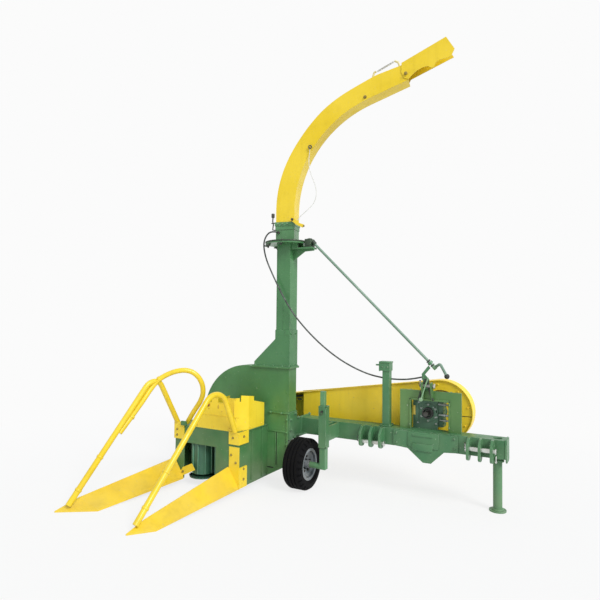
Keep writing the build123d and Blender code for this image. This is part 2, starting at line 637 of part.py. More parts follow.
with BuildPart() as turn_ring:
    with Locations((TOWER_X, TOWER_Y, (ring_z + ring_top) / 2)):
        Cylinder(RING_R, ring_top - ring_z)
    with BuildSketch(Plane(origin=(TOWER_X, TOWER_Y, ring_z - 1), x_dir=spout_plane.x_dir, z_dir=(0, 0, 1))):
        Rectangle(SPOUT_H - 2 * SPOUT_WALL, SPOUT_W - 2 * SPOUT_WALL)
    extrude(amount=RING_T + 4, mode=Mode.SUBTRACT)
keep(turn_ring, "turn_ring")

def spout_point(s, z, offset):
    """A point of the spout's side view, in the machine's frame."""
    return tuple(spout_plane.from_local_coords((s, z, offset)))


with BuildPart() as collar:
    add(square_tube(SPOUT_W, SPOUT_H, SPOUT_WALL, ring_top, COLLAR_TOP))
    for lip, z0 in ((4, COLLAR_TOP - 60), (8, COLLAR_TOP - 30)):
        add(square_tube(SPOUT_W + 2 * lip, SPOUT_H + 2 * lip, lip + SPOUT_WALL, z0, COLLAR_TOP))
    stud_z = COLLAR_TOP - 84
    add(bar(spout_point(-48, stud_z, SPOUT_W / 2), spout_point(-48, stud_z, SPOUT_W / 2 + 16), 8))
keep(collar, "spout_collar")

end_way = (cos(radians(SPOUT_END_SLOPE)), sin(radians(SPOUT_END_SLOPE)))
bend_s = SPOUT_H / 2 + SPOUT_R


def inward(s, z, slope, inset):
    """A point of the spout's back, moved in by the inset, square to its slope there."""
    return (s + inset * sin(radians(slope)), z - inset * cos(radians(slope)))


def spout_outline(inset, overrun=0.0):
    """The spout's side view: up from the collar, round the bend and out along its straight end."""
    inner_r = SPOUT_R + inset
    lift = 90 + SPOUT_END_SLOPE
    run = SPOUT_STRAIGHT + overrun
    foot = COLLAR_TOP - overrun
    tip_in = (bend_s + inner_r * cos(radians(lift)), SPOUT_BEND_Z + inner_r * sin(radians(lift)))
    end_in = (tip_in[0] + run * end_way[0], tip_in[1] + run * end_way[1])
    back = [(-SPOUT_H / 2 + inset, SPOUT_BEND_Z)]
    back += [inward(s, SPOUT_BEND_Z + rise, slope, inset) for s, rise, slope in SPOUT_BACK]
    tip_s, tip_rise, tip_slope = SPOUT_TIP
    tip_z = SPOUT_BEND_Z + tip_rise
    reach = (tip_s + overrun * cos(radians(tip_slope)), tip_z + overrun * sin(radians(tip_slope)))
    end_out = inward(*reach, tip_slope, inset)
    with BuildSketch() as made:
        with BuildLine():
            Line((-SPOUT_H / 2 + inset, foot), back[0])
            Spline(*back, tangents=[(0, 1), (cos(radians(tip_slope)), sin(radians(tip_slope)))])
            Line(back[-1], end_out)
            Line(end_out, end_in)
            Line(end_in, tip_in)
            CenterArc((bend_s, SPOUT_BEND_Z), inner_r, lift, 180 - lift)
            Line((bend_s - inner_r, SPOUT_BEND_Z), (bend_s - inner_r, foot))
            Line((bend_s - inner_r, foot), (-SPOUT_H / 2 + inset, foot))
        make_face()
    return made.sketch


def in_spout(sketch, offset):
    """A flat sketch stood up in the spout's plane, offset along its normal."""
    return spout_plane.offset(offset) * sketch


hinge_s, hinge_z = HINGE_S, HINGE_Z
eyelet_s, eyelet_z = 203.0, SPOUT_BEND_Z + 494.0
lever_at = SPOUT_W / 2 + 14
lever_shape = ((58, 12), (78, 12), (104, -10), (118, -10), (118, -28), (160, -42), (168, -56), (150, -66), (98, -42),
               (58, -8))
with BuildPart() as spout:
    extrude(in_spout(spout_outline(0), -SPOUT_W / 2), amount=SPOUT_W)
    extrude(in_spout(spout_outline(SPOUT_WALL, 20), -SPOUT_W / 2 + SPOUT_WALL), amount=SPOUT_W - 2 * SPOUT_WALL,
            mode=Mode.SUBTRACT)
    for side in (-1, 1):
        add(bar(spout_point(hinge_s, hinge_z, side * (SPOUT_W / 2 - SPOUT_WALL / 2)),
                spout_point(hinge_s, hinge_z, side * (SPOUT_W / 2 + FLAP_GAP + THIN + 8)), FLAP_PIN_R))
    add(bar(spout_point(eyelet_s, eyelet_z, SPOUT_W / 2), spout_point(eyelet_s, eyelet_z, SPOUT_W / 2 + 16), 5))
    pivot_z = COLLAR_TOP + 14
    add(bar(spout_point(66, pivot_z, SPOUT_W / 2 - SPOUT_WALL / 2), spout_point(66, pivot_z, lever_at + 8), 7))
    with BuildSketch(spout_plane.offset(lever_at)):
        with BuildLine():
            Polyline(*[(s, pivot_z + rise) for s, rise in lever_shape], close=True)
        make_face()
    extrude(amount=8)
keep(spout, "spout")

flap_way = radians(FLAP_SLOPE)
flap_top = 90.0


def flap_point(along, up):
    """A point of the deflector's side view, from its hinge, in the spout's side view."""
    return (hinge_s + along * cos(flap_way) - up * sin(flap_way), hinge_z + along * sin(flap_way) + up * cos(flap_way))


flap_rear, flap_front = flap_point(FLAP_REAR, flap_top + THIN), flap_point(FLAP_LENGTH, flap_top + THIN)
near_edge = [(375, -21), (334, -56), (302, -52), (253, -37), (218, -40), (195, -62), (180, -62), (161, -34),
             (127, -22), (80, -21), (40, -31), (0, -45), (-26, -20), (-24, 30)]
far_edge = [(370, -18), (28, -2), (-10, -30), (-26, -24), (-26, 30)]
with BuildPart() as deflector:
    for side_at, edge in ((SPOUT_W / 2 + FLAP_GAP, near_edge), (-SPOUT_W / 2 - FLAP_GAP - THIN, far_edge)):
        with BuildSketch(spout_plane.offset(side_at)):
            with BuildLine():
                Polyline(flap_rear, flap_front, *[flap_point(*point) for point in edge], close=True)
            make_face()
            with Locations((hinge_s, hinge_z)):
                Circle(FLAP_PIN_R + RUNNING, mode=Mode.SUBTRACT)
        extrude(amount=THIN)
    with BuildSketch(spout_plane.offset(-SPOUT_W / 2 - FLAP_GAP - THIN)):
        with BuildLine():
            Polyline(flap_point(FLAP_REAR, flap_top), flap_rear, flap_front, flap_point(FLAP_LENGTH, flap_top),
                     close=True)
        make_face()
    extrude(amount=SPOUT_W + 2 * (FLAP_GAP + THIN))
keep(deflector, "deflector")

# =================================================================================================
# Feeder header: box, feed drums with their discs, drive cover
# =================================================================================================
box_in = BOX_SHEET
with BuildPart() as feeder_box:
    block((CASE_FRONT, BOX_FRONT), (BOX_RIGHT_Y, BOX_RIGHT_Y + box_in), (BOX_BOTTOM, BOX_TOP))
    block((CASE_FRONT, BOX_FRONT), (BOX_LEFT_Y - box_in, BOX_LEFT_Y), (BOX_BOTTOM, BOX_TOP))
    block((CASE_FRONT, BOX_FRONT), (BOX_RIGHT_Y, BOX_LEFT_Y), (BOX_TOP - box_in, BOX_TOP))
    block((BOX_FRONT - box_in, BOX_FRONT), (BOX_RIGHT_Y, BOX_LEFT_Y), (PANEL_BOTTOM, BOX_TOP))
    block((CASE_FRONT, DRUM_X - DISC_R - 20), (BOX_RIGHT_Y, BOX_LEFT_Y), (BOX_BOTTOM, BOX_BOTTOM + box_in))
    block((CASE_FRONT, CASE_FRONT + box_in), (BOX_RIGHT_Y, BOX_LEFT_Y), (BOX_BOTTOM, BOX_TOP))
    block((CASE_FRONT - 1, CASE_FRONT + box_in + 1), feed_mouth[0], feed_mouth[1], mode=Mode.SUBTRACT)
    for y0, y1 in ((BOX_RIGHT_Y, BOX_RIGHT_Y + POST_W), (BOX_LEFT_Y - POST_W, BOX_LEFT_Y)):
        block((BOX_FRONT - box_in, BOX_FRONT), (y0, y1), (BOX_BOTTOM, BOX_TOP))
    block((BOX_FRONT - box_in, BOX_FRONT), (HITCH_Y - 1390, BOX_LEFT_Y - POST_W), (DRUM_BOTTOM, PANEL_BOTTOM))
    for _, drum_y in DRUM_YS:
        with Locations((DRUM_X, drum_y, BOX_TOP - box_in - 12)):
            Cylinder(45, 24)
            Cylinder(DRUM_SHAFT_R + RUNNING, 26, mode=Mode.SUBTRACT)
keep(feeder_box, "feeder_box")

for side, drum_y in DRUM_YS:
    with BuildPart() as drum:
        with Locations((DRUM_X, drum_y, DISC_Z + 4)):
            Cylinder(DISC_R, 8)
        with Locations((DRUM_X, drum_y, (DRUM_BOTTOM + DRUM_TOP) / 2)):
            Cylinder(DRUM_R, DRUM_TOP - DRUM_BOTTOM)
        add(bar((DRUM_X, drum_y, DISC_Z), (DRUM_X, drum_y, BOX_TOP - box_in - 2), DRUM_SHAFT_R))
    keep(drum, f"feed_drum_{side}")

cover_rise = COVER_TOP - BOX_TOP
cover_tabs = (((HITCH_Y - 1433, HITCH_Y - 1376), COVER_TOP + 40), ((HITCH_Y - 1284, HITCH_Y - 1202), COVER_TOP + 44))


def cover_space(inset, height):
    """The room inside the drive cover's outline: a front, a chamfered left corner and a right side that leans in."""
    right_y = COVER_RIGHT_Y + inset
    top_y = right_y + COVER_LEAN * height / cover_rise
    with BuildPart() as made:
        with BuildSketch(Plane.XY.offset(BOX_TOP)):
            with BuildLine():
                Polyline((COVER_REAR, BOX_LEFT_Y), (HITCH_X + 520, BOX_LEFT_Y), (BOX_FRONT, BOX_LEFT_Y - 45),
                         (BOX_FRONT, COVER_RIGHT_Y), (COVER_REAR, COVER_RIGHT_Y), close=True)
            make_face()
            if inset:
                offset(amount=-inset, kind=Kind.INTERSECTION, mode=Mode.REPLACE)
        extrude(amount=height)
        add(plate_yz(COVER_REAR - 1, BOX_FRONT - COVER_REAR + 2,
                     [(right_y, BOX_TOP), (top_y, BOX_TOP + height), (BOX_LEFT_Y, BOX_TOP + height),
                      (BOX_LEFT_Y, BOX_TOP)]), mode=Mode.INTERSECT)
    return made.part


with BuildPart() as header_cover:
    add(cover_space(0, 300))
    add(cover_space(4, 300), mode=Mode.SUBTRACT)
    block((COVER_REAR - 1, COVER_REAR + 5), (COVER_RIGHT_Y, BOX_LEFT_Y), (BOX_TOP - 1, BOX_TOP + 301),
          mode=Mode.SUBTRACT)
    tab1, tab2 = cover_tabs
    clear_above = BOX_TOP + 301
    block((COVER_REAR, BOX_FRONT + 1), (COVER_RIGHT_Y, tab1[0][0]), (COVER_TOP, clear_above), mode=Mode.SUBTRACT)
    block((HITCH_X + 600, BOX_FRONT + 1), tab1[0], (tab1[1], clear_above), mode=Mode.SUBTRACT)
    block((HITCH_X + 600, BOX_FRONT + 1), (tab1[0][1], tab2[0][0]), (COVER_TOP, clear_above), mode=Mode.SUBTRACT)
    block((HITCH_X + 596, BOX_FRONT + 1), tab2[0], (tab2[1], clear_above), mode=Mode.SUBTRACT)
    side_cut = [(HITCH_X + x, COVER_TOP + rise) for x, rise in ((324, -20), (450, 9), (451, 43), (582, 61), (584, 15),
                                                                (596, 15))]
    add(plate_xz(BOX_LEFT_Y - 120, 121, [(COVER_REAR - 1, COVER_TOP - 26), *side_cut, (HITCH_X + 596, clear_above + 1),
                                         (COVER_REAR - 1, clear_above + 1)]), mode=Mode.SUBTRACT)
keep(header_cover, "header_cover")

with BuildPart() as drum_gearcase:
    block((DRUM_X - 70, BOX_FRONT - 12), (HITCH_Y - 1540, DRUM_YS[1][1] + 40), (BOX_TOP, BOX_TOP + 56))
    block((CASE_FRONT, DRUM_X - 70), (ROTOR_Y - 50, ROTOR_Y + 50), (BOX_TOP, BOX_TOP + 50))
keep(drum_gearcase, "drum_gearcase")

# Yellow corner brackets that hold the dividers and arches to the box
STRIP_T = 5.0
with BuildPart() as corner_left:
    block((BOX_FRONT, BOX_FRONT + 8), (HITCH_Y - 1266, BOX_LEFT_Y + 8), (BOX_TOP - 90, BOX_TOP))
    block((HITCH_X + 525, BOX_FRONT), (BOX_LEFT_Y, BOX_LEFT_Y + 8), (BOX_TOP - 90, BOX_TOP))
    block((BOX_FRONT, BOX_FRONT + STRIP_T), (HITCH_Y - 1264, BOX_LEFT_Y + 6), (41, 343))
    block((HITCH_X + 544, BOX_FRONT), (BOX_LEFT_Y, BOX_LEFT_Y + 8), (45, 195))
keep(corner_left, "corner_bracket_left")

with BuildPart() as corner_right:
    block((BOX_FRONT, BOX_FRONT + 8), (BOX_RIGHT_Y - 8, BOX_RIGHT_Y + POST_W), (344, BOX_TOP + 24))
    block((BOX_FRONT - 110, BOX_FRONT), (BOX_RIGHT_Y - 8, BOX_RIGHT_Y), (344, BOX_TOP))
    add(plate_yz(BOX_FRONT, STRIP_T, [(HITCH_Y - 1754, 43), (HITCH_Y - 1705, 127), (HITCH_Y - 1616, 168),
                                      (HITCH_Y - 1583, 122), (HITCH_Y - 1674, 78)]))
keep(corner_right, "corner_bracket_right")

# =================================================================================================
# Crop dividers, arches and guide hoop
# =================================================================================================
DIVIDER_T = 4.0
NOSE_H = 58.0
divider_x = BOX_FRONT + STRIP_T


def divider(outer_y, corner, tip, inner_rear_y, inner_tip_y):
    """A folded wedge: an upright inner side, and a face that slopes down to the ground outside."""
    rear = [(inner_rear_y, 20), (inner_rear_y, 195), (outer_y, 60), (outer_y, 40)]
    middle_x = corner[0]
    front = [(inner_tip_y, 0), (inner_tip_y, NOSE_H), (corner[1], 12), (corner[1], 0)]
    with BuildPart() as made:
        for x0, outline in ((divider_x, rear), (middle_x, front)):
            with BuildSketch(Plane.YZ.offset(x0)):
                with BuildLine():
                    Polyline(*outline, close=True)
                make_face()
        loft(ruled=True)
        with BuildSketch(Plane.YZ.offset(middle_x)):
            with BuildLine():
                Polyline(*front, close=True)
            make_face()
        with BuildSketch(Plane.YZ.offset(tip[0])):
            with BuildLine():
                Polyline((tip[1], 0), (tip[1], 8), (tip[1] + 7, 6), (tip[1] + 7, 0), close=True)
            make_face()
        loft(ruled=True)
        turn = 1 if outer_y > inner_rear_y else -1
        wall = DIVIDER_T * turn
        rear_in = [(inner_rear_y + wall, 10), (inner_rear_y + wall, 195 - 4 * DIVIDER_T),
                   (outer_y - wall, 52), (outer_y - wall, 30)]
        front_in = [(inner_tip_y + wall, -5), (inner_tip_y + wall, NOSE_H - 3 * DIVIDER_T),
                    (corner[1] - wall, 8), (corner[1] - wall, -5)]
        for x0, outline in ((divider_x - 1, rear_in), (middle_x - DIVIDER_T, front_in)):
            with BuildSketch(Plane.YZ.offset(x0)):
                with BuildLine():
                    Polyline(*outline, close=True)
                make_face()
        loft(ruled=True, mode=Mode.SUBTRACT)
    return made


left_corner = (HITCH_X + 1410, HITCH_Y - 1232)
left_tip = (HITCH_X + 1542, HITCH_Y - 1345)
right_corner = (HITCH_X + 1365, HITCH_Y - 1795)
right_tip = (HITCH_X + 1520, HITCH_Y - 2025)
keep(divider(BOX_LEFT_Y, left_corner, left_tip, BOX_LEFT_Y - POST_W, HITCH_Y - 1325), "divider_left")
keep(divider(BOX_RIGHT_Y + POST_W, right_corner, right_tip, BOX_RIGHT_Y, HITCH_Y - 1990), "divider_right")

ARCH_R = 20.0
left_foot = (HITCH_X + 1490, HITCH_Y - 1322, 44)
left_arch = [left_foot, (HITCH_X + 800, HITCH_Y - 1245, 844), (HITCH_X + 648, HITCH_Y - 1210, 455)]
with BuildPart() as arch_left:
    add(tube(left_arch, [110], ARCH_R))
    block((CASE_FRONT, BOX_FRONT), (BOX_RIGHT_Y, BOX_LEFT_Y), (BOX_BOTTOM, BOX_TOP), mode=Mode.SUBTRACT)
    add(cover_space(0, 300), mode=Mode.SUBTRACT)
    add(corner_left.part, mode=Mode.SUBTRACT)
keep(arch_left, "arch_left")

right_foot = (HITCH_X + 1465, HITCH_Y - 1960, 40)
right_arch = [right_foot, (HITCH_X + 905, HITCH_Y - 1751, 880), (HITCH_X + 628, HITCH_Y - 1770, 456)]
with BuildPart() as arch_right:
    add(tube(right_arch, [85], ARCH_R))
    block((CASE_FRONT, BOX_FRONT), (BOX_RIGHT_Y, BOX_LEFT_Y), (BOX_BOTTOM, BOX_TOP), mode=Mode.SUBTRACT)
    block((BOX_FRONT, BOX_FRONT + 30), (BOX_RIGHT_Y - 30, BOX_RIGHT_Y + POST_W), (344, BOX_TOP + 24), mode=Mode.SUBTRACT)
keep(arch_right, "arch_right")

hoop_points = [(1150, -1845, 469), (1060, -1821, 576), (980, -1787, 689), (930, -1775, 757), (880, -1750, 820),
               (840, -1710, 856), (800, -1658, 882), (760, -1606, 892), (720, -1563, 880), (690, -1522, 840),
               (663, -1504, 776), (638, -1519, 704), (620, -1564, 636), (612, -1630, 560), (606, -1698, 464)]
hoop_path = [(HITCH_X + x, HITCH_Y + y, z) for x, y, z in hoop_points]
with BuildPart() as guide_hoop:
    add(tube(hoop_path, cord_radii(hoop_path), ARCH_R - 1))
    add(tube(right_arch, [85], ARCH_R), mode=Mode.SUBTRACT)
    block((CASE_FRONT, BOX_FRONT), (BOX_RIGHT_Y, BOX_LEFT_Y), (BOX_BOTTOM, BOX_TOP), mode=Mode.SUBTRACT)
    add(cover_space(0, 300), mode=Mode.SUBTRACT)
keep(guide_hoop, "guide_hoop")

# =================================================================================================
# Support post on the beam
# =================================================================================================
POST_Y = HITCH_Y - 280
POST_TOP = 900.0
with BuildPart() as support_post:
    block((HITCH_X - 27, HITCH_X + 27), (POST_Y - 27, POST_Y + 27), (beam_top, POST_TOP))
    block((HITCH_X - 34, HITCH_X + 34), (POST_Y - 48, POST_Y + 32), (POST_TOP, POST_TOP + 66))
    add(bar((HITCH_X, POST_Y - 88, POST_TOP + 40), (HITCH_X, POST_Y - 48, POST_TOP + 40), 6))
keep(support_post, "support_post")

# =================================================================================================
# Gauge wheel: sleeve on the beam, sliding leg with its axle, rim and tyre
# =================================================================================================
leg_half = LEG_W / 2
sleeve_half = leg_half + SLIDING + SLEEVE_WALL
with BuildPart() as wheel_sleeve:
    block((WHEEL_X - sleeve_half, WHEEL_X + sleeve_half), (LEG_Y - sleeve_half, LEG_Y + sleeve_half),
          (SLEEVE_BOTTOM, SLEEVE_TOP))
    bore = leg_half + SLIDING
    block((WHEEL_X - bore, WHEEL_X + bore), (LEG_Y - bore, LEG_Y + bore), (SLEEVE_BOTTOM - 1, SLEEVE_TOP + 1),
          mode=Mode.SUBTRACT)
    for y0 in (LEG_Y - sleeve_half, LEG_Y + sleeve_half - PLATE):
        block((beam_front, WHEEL_X - sleeve_half), (y0, y0 + PLATE), (beam_bottom + 14, beam_top - 4))
keep(wheel_sleeve, "wheel_sleeve")

axle_z = WHEEL_R
hub_w = WHEEL_W - 30
with BuildPart() as wheel_leg:
    block((WHEEL_X - leg_half, WHEEL_X + leg_half), (LEG_Y - leg_half, LEG_Y + leg_half), (axle_z - 18, SLEEVE_TOP - 30))
    block((WHEEL_X - leg_half + 5, WHEEL_X + leg_half - 5), (LEG_Y - leg_half + 5, LEG_Y + leg_half - 5),
          (axle_z - 19, SLEEVE_TOP - 38), mode=Mode.SUBTRACT)
    block((WHEEL_X - 17, WHEEL_X + 17), (LEG_Y - leg_half, LEG_Y + 11), (SLEEVE_TOP - 30, LEG_TOP))
    add(bar((WHEEL_X, LEG_Y + leg_half, axle_z), (WHEEL_X, WHEEL_Y - hub_w / 2 - 18, axle_z), AXLE_R))
    add(bar((WHEEL_X, LEG_Y - leg_half, axle_z), (WHEEL_X, WHEEL_Y + hub_w / 2 + HAIR, axle_z), AXLE_R + 7))
keep(wheel_leg, "wheel_leg")

with BuildPart() as rim:
    with BuildSketch(Plane.XY) as rim_section:
        with BuildLine():
            Polyline((AXLE_R + RUNNING, -hub_w / 2), (AXLE_R + 13, -hub_w / 2), (AXLE_R + 13, -5), (RIM_R - 14, -5),
                     (RIM_R - 14, -hub_w / 2), (RIM_R + 6, -hub_w / 2), (RIM_R + 6, -hub_w / 2 + 4),
                     (RIM_R - 8, -hub_w / 2 + 6), (RIM_R - 8, hub_w / 2 - 6), (RIM_R + 6, hub_w / 2 - 4),
                     (RIM_R + 6, hub_w / 2), (RIM_R - 14, hub_w / 2), (RIM_R - 14, 1), (AXLE_R + 13, 1),
                     (AXLE_R + 13, hub_w / 2), (AXLE_R + RUNNING, hub_w / 2), close=True)
        make_face()
    revolve(axis=Axis.Y)
rim_at = Location((WHEEL_X, WHEEL_Y, axle_z))
with BuildPart() as placed_rim:
    add(rim.part.moved(rim_at))
keep(placed_rim, "wheel_rim")

with BuildPart() as tyre:
    with BuildSketch(Plane.XY) as tyre_section:
        with BuildLine():
            half = hub_w / 2
            Polyline((RIM_R + 6, -half), (RIM_R - 8, -half + 6), (RIM_R - 8, half - 6), (RIM_R + 6, half),
                     (RIM_R + 22, WHEEL_W / 2 - 3), (WHEEL_R - 38, WHEEL_W / 2), (WHEEL_R - 12, WHEEL_W / 2 - 6),
                     (WHEEL_R, WHEEL_W / 2 - 20), (WHEEL_R, -WHEEL_W / 2 + 20), (WHEEL_R - 12, -WHEEL_W / 2 + 6),
                     (WHEEL_R - 38, -WHEEL_W / 2), (RIM_R + 22, -WHEEL_W / 2 + 3), close=True)
        make_face()
    revolve(axis=Axis.Y)
with BuildPart() as placed_tyre:
    add(tyre.part.moved(rim_at))
    add(placed_rim.part, mode=Mode.SUBTRACT)
keep(placed_tyre, "wheel_tyre")

# =================================================================================================
# Parking stand: a round leg in a socket through the beam's left end
# =================================================================================================
socket_r = STAND_R + SLIDING + SLEEVE_WALL
with BuildPart() as stand_socket:
    add(bar((HITCH_X, STAND_Y, beam_bottom - 30), (HITCH_X, STAND_Y, beam_top), socket_r))
    with Locations((HITCH_X, STAND_Y, BEAM_Z)):
        Cylinder(STAND_R + SLIDING, 2 * BEAM, mode=Mode.SUBTRACT)
keep(stand_socket, "stand_socket")

with BuildPart() as parking_stand:
    with Locations((HITCH_X, STAND_Y, 5)):
        Cylinder(STAND_FOOT_R, 10)
    add(bar((HITCH_X, STAND_Y, 10), (HITCH_X, STAND_Y, beam_top - 4), STAND_R))
    add(bar((HITCH_X, STAND_Y, 14), (HITCH_X, STAND_Y, beam_top), STAND_R - 5), mode=Mode.SUBTRACT)
keep(parking_stand, "parking_stand")

# =================================================================================================
# Control cable, its clip on the turntable, and the pull cord of the deflector
# =================================================================================================
CABLE_R = 6.0
cable_points = [(HITCH_X + 296, HITCH_Y - 1085, 1962), (HITCH_X + 293, HITCH_Y - 1133, 1975),
                (HITCH_X + 290, HITCH_Y - 1181, 1955), (HITCH_X + 288, HITCH_Y - 1211, 1906),
                (HITCH_X + 287, HITCH_Y - 1214, 1844), (HITCH_X + 286, HITCH_Y - 1188, 1747),
                (HITCH_X + 285, HITCH_Y - 1120, 1613), (HITCH_X + 284, HITCH_Y - 1040, 1470),
                (HITCH_X + 280, HITCH_Y - 952, 1336), (HITCH_X + 248, HITCH_Y - 866, 1223),
                (HITCH_X + 205, HITCH_Y - 785, 1128), (HITCH_X + 160, HITCH_Y - 702, 1044),
                (HITCH_X + 112, HITCH_Y - 612, 970), (HITCH_X + 60, HITCH_Y - 515, 908),
                (HITCH_X + 3, HITCH_Y - 415, 860), (HITCH_X - 50, HITCH_Y - 316, 836),
                (HITCH_X - 68, HITCH_Y - 215, 830), (HITCH_X - 58, HITCH_Y - 105, 841),
                (HITCH_X - 39, HITCH_Y - 19, 865)]
with BuildPart() as control_cable:
    add(tube(cable_points, cord_radii(cable_points), CABLE_R))
keep(control_cable, "control_cable")
print("cable radii", [round(r) for r in cord_radii(cable_points)])

CORD_R = 2.5
pull_way = ((203, 2618, 74), (197, 2562, 77), (196, 2502, 82), (204, 2443, 86), (222, 2388, 88), (245, 2335, 88),
            (261, 2280, 88), (259, 2222, 87), (236, 2170, 86), (191, 2130, 84), (150, 2098, 82), (125, 2078, 81),
            (111, 2053, 80))
pull_points = [spout_point(*place) for place in pull_way]
with BuildPart() as pull_cord:
    add(tube(pull_points, cord_radii(pull_points), CORD_R))
keep(pull_cord, "pull_cord")
print("pull cord radii", [round(r) for r in cord_radii(pull_points)])

os.makedirs("parts", exist_ok=True)
for piece in pieces:
    export_step(piece, f"parts/{piece.label}.step")
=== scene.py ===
from math import atan2, cos, pi, radians, sin

import bmesh
import bpy
from mathutils import Matrix, Vector


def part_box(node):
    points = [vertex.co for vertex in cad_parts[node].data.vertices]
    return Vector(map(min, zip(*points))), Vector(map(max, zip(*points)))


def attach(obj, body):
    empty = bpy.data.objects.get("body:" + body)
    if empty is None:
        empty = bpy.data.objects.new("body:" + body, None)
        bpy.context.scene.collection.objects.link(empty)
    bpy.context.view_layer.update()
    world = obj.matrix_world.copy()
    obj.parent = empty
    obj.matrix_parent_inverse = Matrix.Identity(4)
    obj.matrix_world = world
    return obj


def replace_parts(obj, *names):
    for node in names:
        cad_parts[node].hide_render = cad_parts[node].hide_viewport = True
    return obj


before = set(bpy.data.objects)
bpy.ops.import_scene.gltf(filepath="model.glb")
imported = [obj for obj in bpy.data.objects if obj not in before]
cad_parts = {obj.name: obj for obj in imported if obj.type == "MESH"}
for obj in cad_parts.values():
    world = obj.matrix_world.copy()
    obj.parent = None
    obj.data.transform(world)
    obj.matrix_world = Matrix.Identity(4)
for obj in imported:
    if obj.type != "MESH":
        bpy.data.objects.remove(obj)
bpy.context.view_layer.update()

# Studio: a pale floor that fades into an even white surround, one broad lamp high on the machine's
# left and an open sky. The camera stands in front of the machine, to the left of its path.
yaw, pitch, roll = radians(28.9), radians(-1.83), radians(0.56)
camera_spot = Vector((3.14436, 1.77775, 1.30052))
look = Vector((-cos(yaw) * cos(pitch), -sin(yaw) * cos(pitch), -sin(pitch)))
level_right = Vector((-sin(yaw), cos(yaw), 0))
level_up = level_right.cross(look)
camera_right = cos(roll) * level_right + sin(roll) * level_up
camera_up = -sin(roll) * level_right + cos(roll) * level_up
camera = bpy.data.objects.new("camera", bpy.data.cameras.new("camera"))
camera.data.lens = 31.32
camera.data.sensor_width = 36
stand_point = Matrix((camera_right, camera_up, -look)).transposed().to_4x4()
stand_point.translation = camera_spot
camera.matrix_world = stand_point
bpy.context.scene.collection.objects.link(camera)
bpy.context.scene.camera = camera

SURROUND = (0.965, 0.965, 0.965, 1)


def add_node(tree, kind, inputs=(), **settings):
    """A shader node with its settings, each input linked or given its value."""
    made = tree.nodes.new("ShaderNode" + kind)
    for key, value in settings.items():
        setattr(made, key, value)
    for key, value in dict(inputs).items():
        if isinstance(value, bpy.types.NodeSocket):
            tree.links.new(value, made.inputs[key])
        else:
            made.inputs[key].default_value = value
    return made


def seen_straight(tree):
    """1 for rays that show the surround itself: to the camera, in metal and through glass."""
    path = add_node(tree, "LightPath")
    first = add_node(tree, "Math", {0: path.outputs["Is Camera Ray"], 1: path.outputs["Is Glossy Ray"]},
                     operation="MAXIMUM")
    both = add_node(tree, "Math", {0: first.outputs[0], 1: path.outputs["Is Transmission Ray"]},
                    operation="MAXIMUM")
    return both.outputs[0]


world = bpy.data.worlds.new("sky")
world.use_nodes = True
bpy.context.scene.world = world
world.node_tree.nodes.clear()
sky_light = add_node(world.node_tree, "Background", {"Color": (0.95, 0.98, 1, 1), "Strength": 0.62})
sky_seen = add_node(world.node_tree, "Background", {"Color": SURROUND, "Strength": 1.0})
sky_mix = add_node(world.node_tree, "MixShader", {0: seen_straight(world.node_tree), 1: sky_light.outputs[0],
                                                  2: sky_seen.outputs[0]})
add_node(world.node_tree, "OutputWorld", {"Surface": sky_mix.outputs[0]})

lamp_way = Vector((0.36, 0.72, 0.62))
lamp = bpy.data.objects.new("lamp", bpy.data.lights.new("lamp", "SUN"))
lamp.data.energy = 2.3
lamp.data.angle = radians(24)
lamp.rotation_mode = "QUATERNION"
lamp.rotation_quaternion = lamp_way.to_track_quat("Z", "Y")
bpy.context.scene.collection.objects.link(lamp)

FLOOR_RADIUS = 30
FADE_FROM, FADE_TO = 1.6, 4.2
FLOOR_SHARE = 0.2
floor_mesh = bmesh.new()
bmesh.ops.create_circle(floor_mesh, cap_ends=True, segments=96, radius=FLOOR_RADIUS)
floor = bpy.data.objects.new("floor", bpy.data.meshes.new("floor"))
floor_mesh.to_mesh(floor.data)
floor_mesh.free()
bpy.context.scene.collection.objects.link(floor)
floor_paint = bpy.data.materials.new("floor_paint")
floor_paint.use_nodes = True
tree = floor_paint.node_tree
tree.nodes.clear()
floor_place = add_node(tree, "TexCoord")
floor_reach = add_node(tree, "VectorMath", {0: floor_place.outputs["Object"]}, operation="LENGTH")
floor_fade = add_node(tree, "MapRange", {"Value": floor_reach.outputs["Value"], "From Min": FADE_FROM,
                                         "From Max": FADE_TO, "To Min": FLOOR_SHARE, "To Max": 0.0},
                      interpolation_type="SMOOTHSTEP")
floor_keep = add_node(tree, "Math", {0: seen_straight(tree), 1: floor_fade.outputs[0]}, operation="SUBTRACT",
                      use_clamp=True)
floor_matt = add_node(tree, "BsdfDiffuse", {"Color": (0.86, 0.86, 0.86, 1)})
floor_glow = add_node(tree, "Emission", {"Color": SURROUND, "Strength": 1.0})
floor_mix = add_node(tree, "MixShader", {0: floor_keep.outputs[0], 1: floor_matt.outputs[0],
                                         2: floor_glow.outputs[0]})
add_node(tree, "OutputMaterial", {"Surface": floor_mix.outputs[0]})
floor.data.materials.append(floor_paint)
bpy.context.scene.view_settings.view_transform = "Standard"

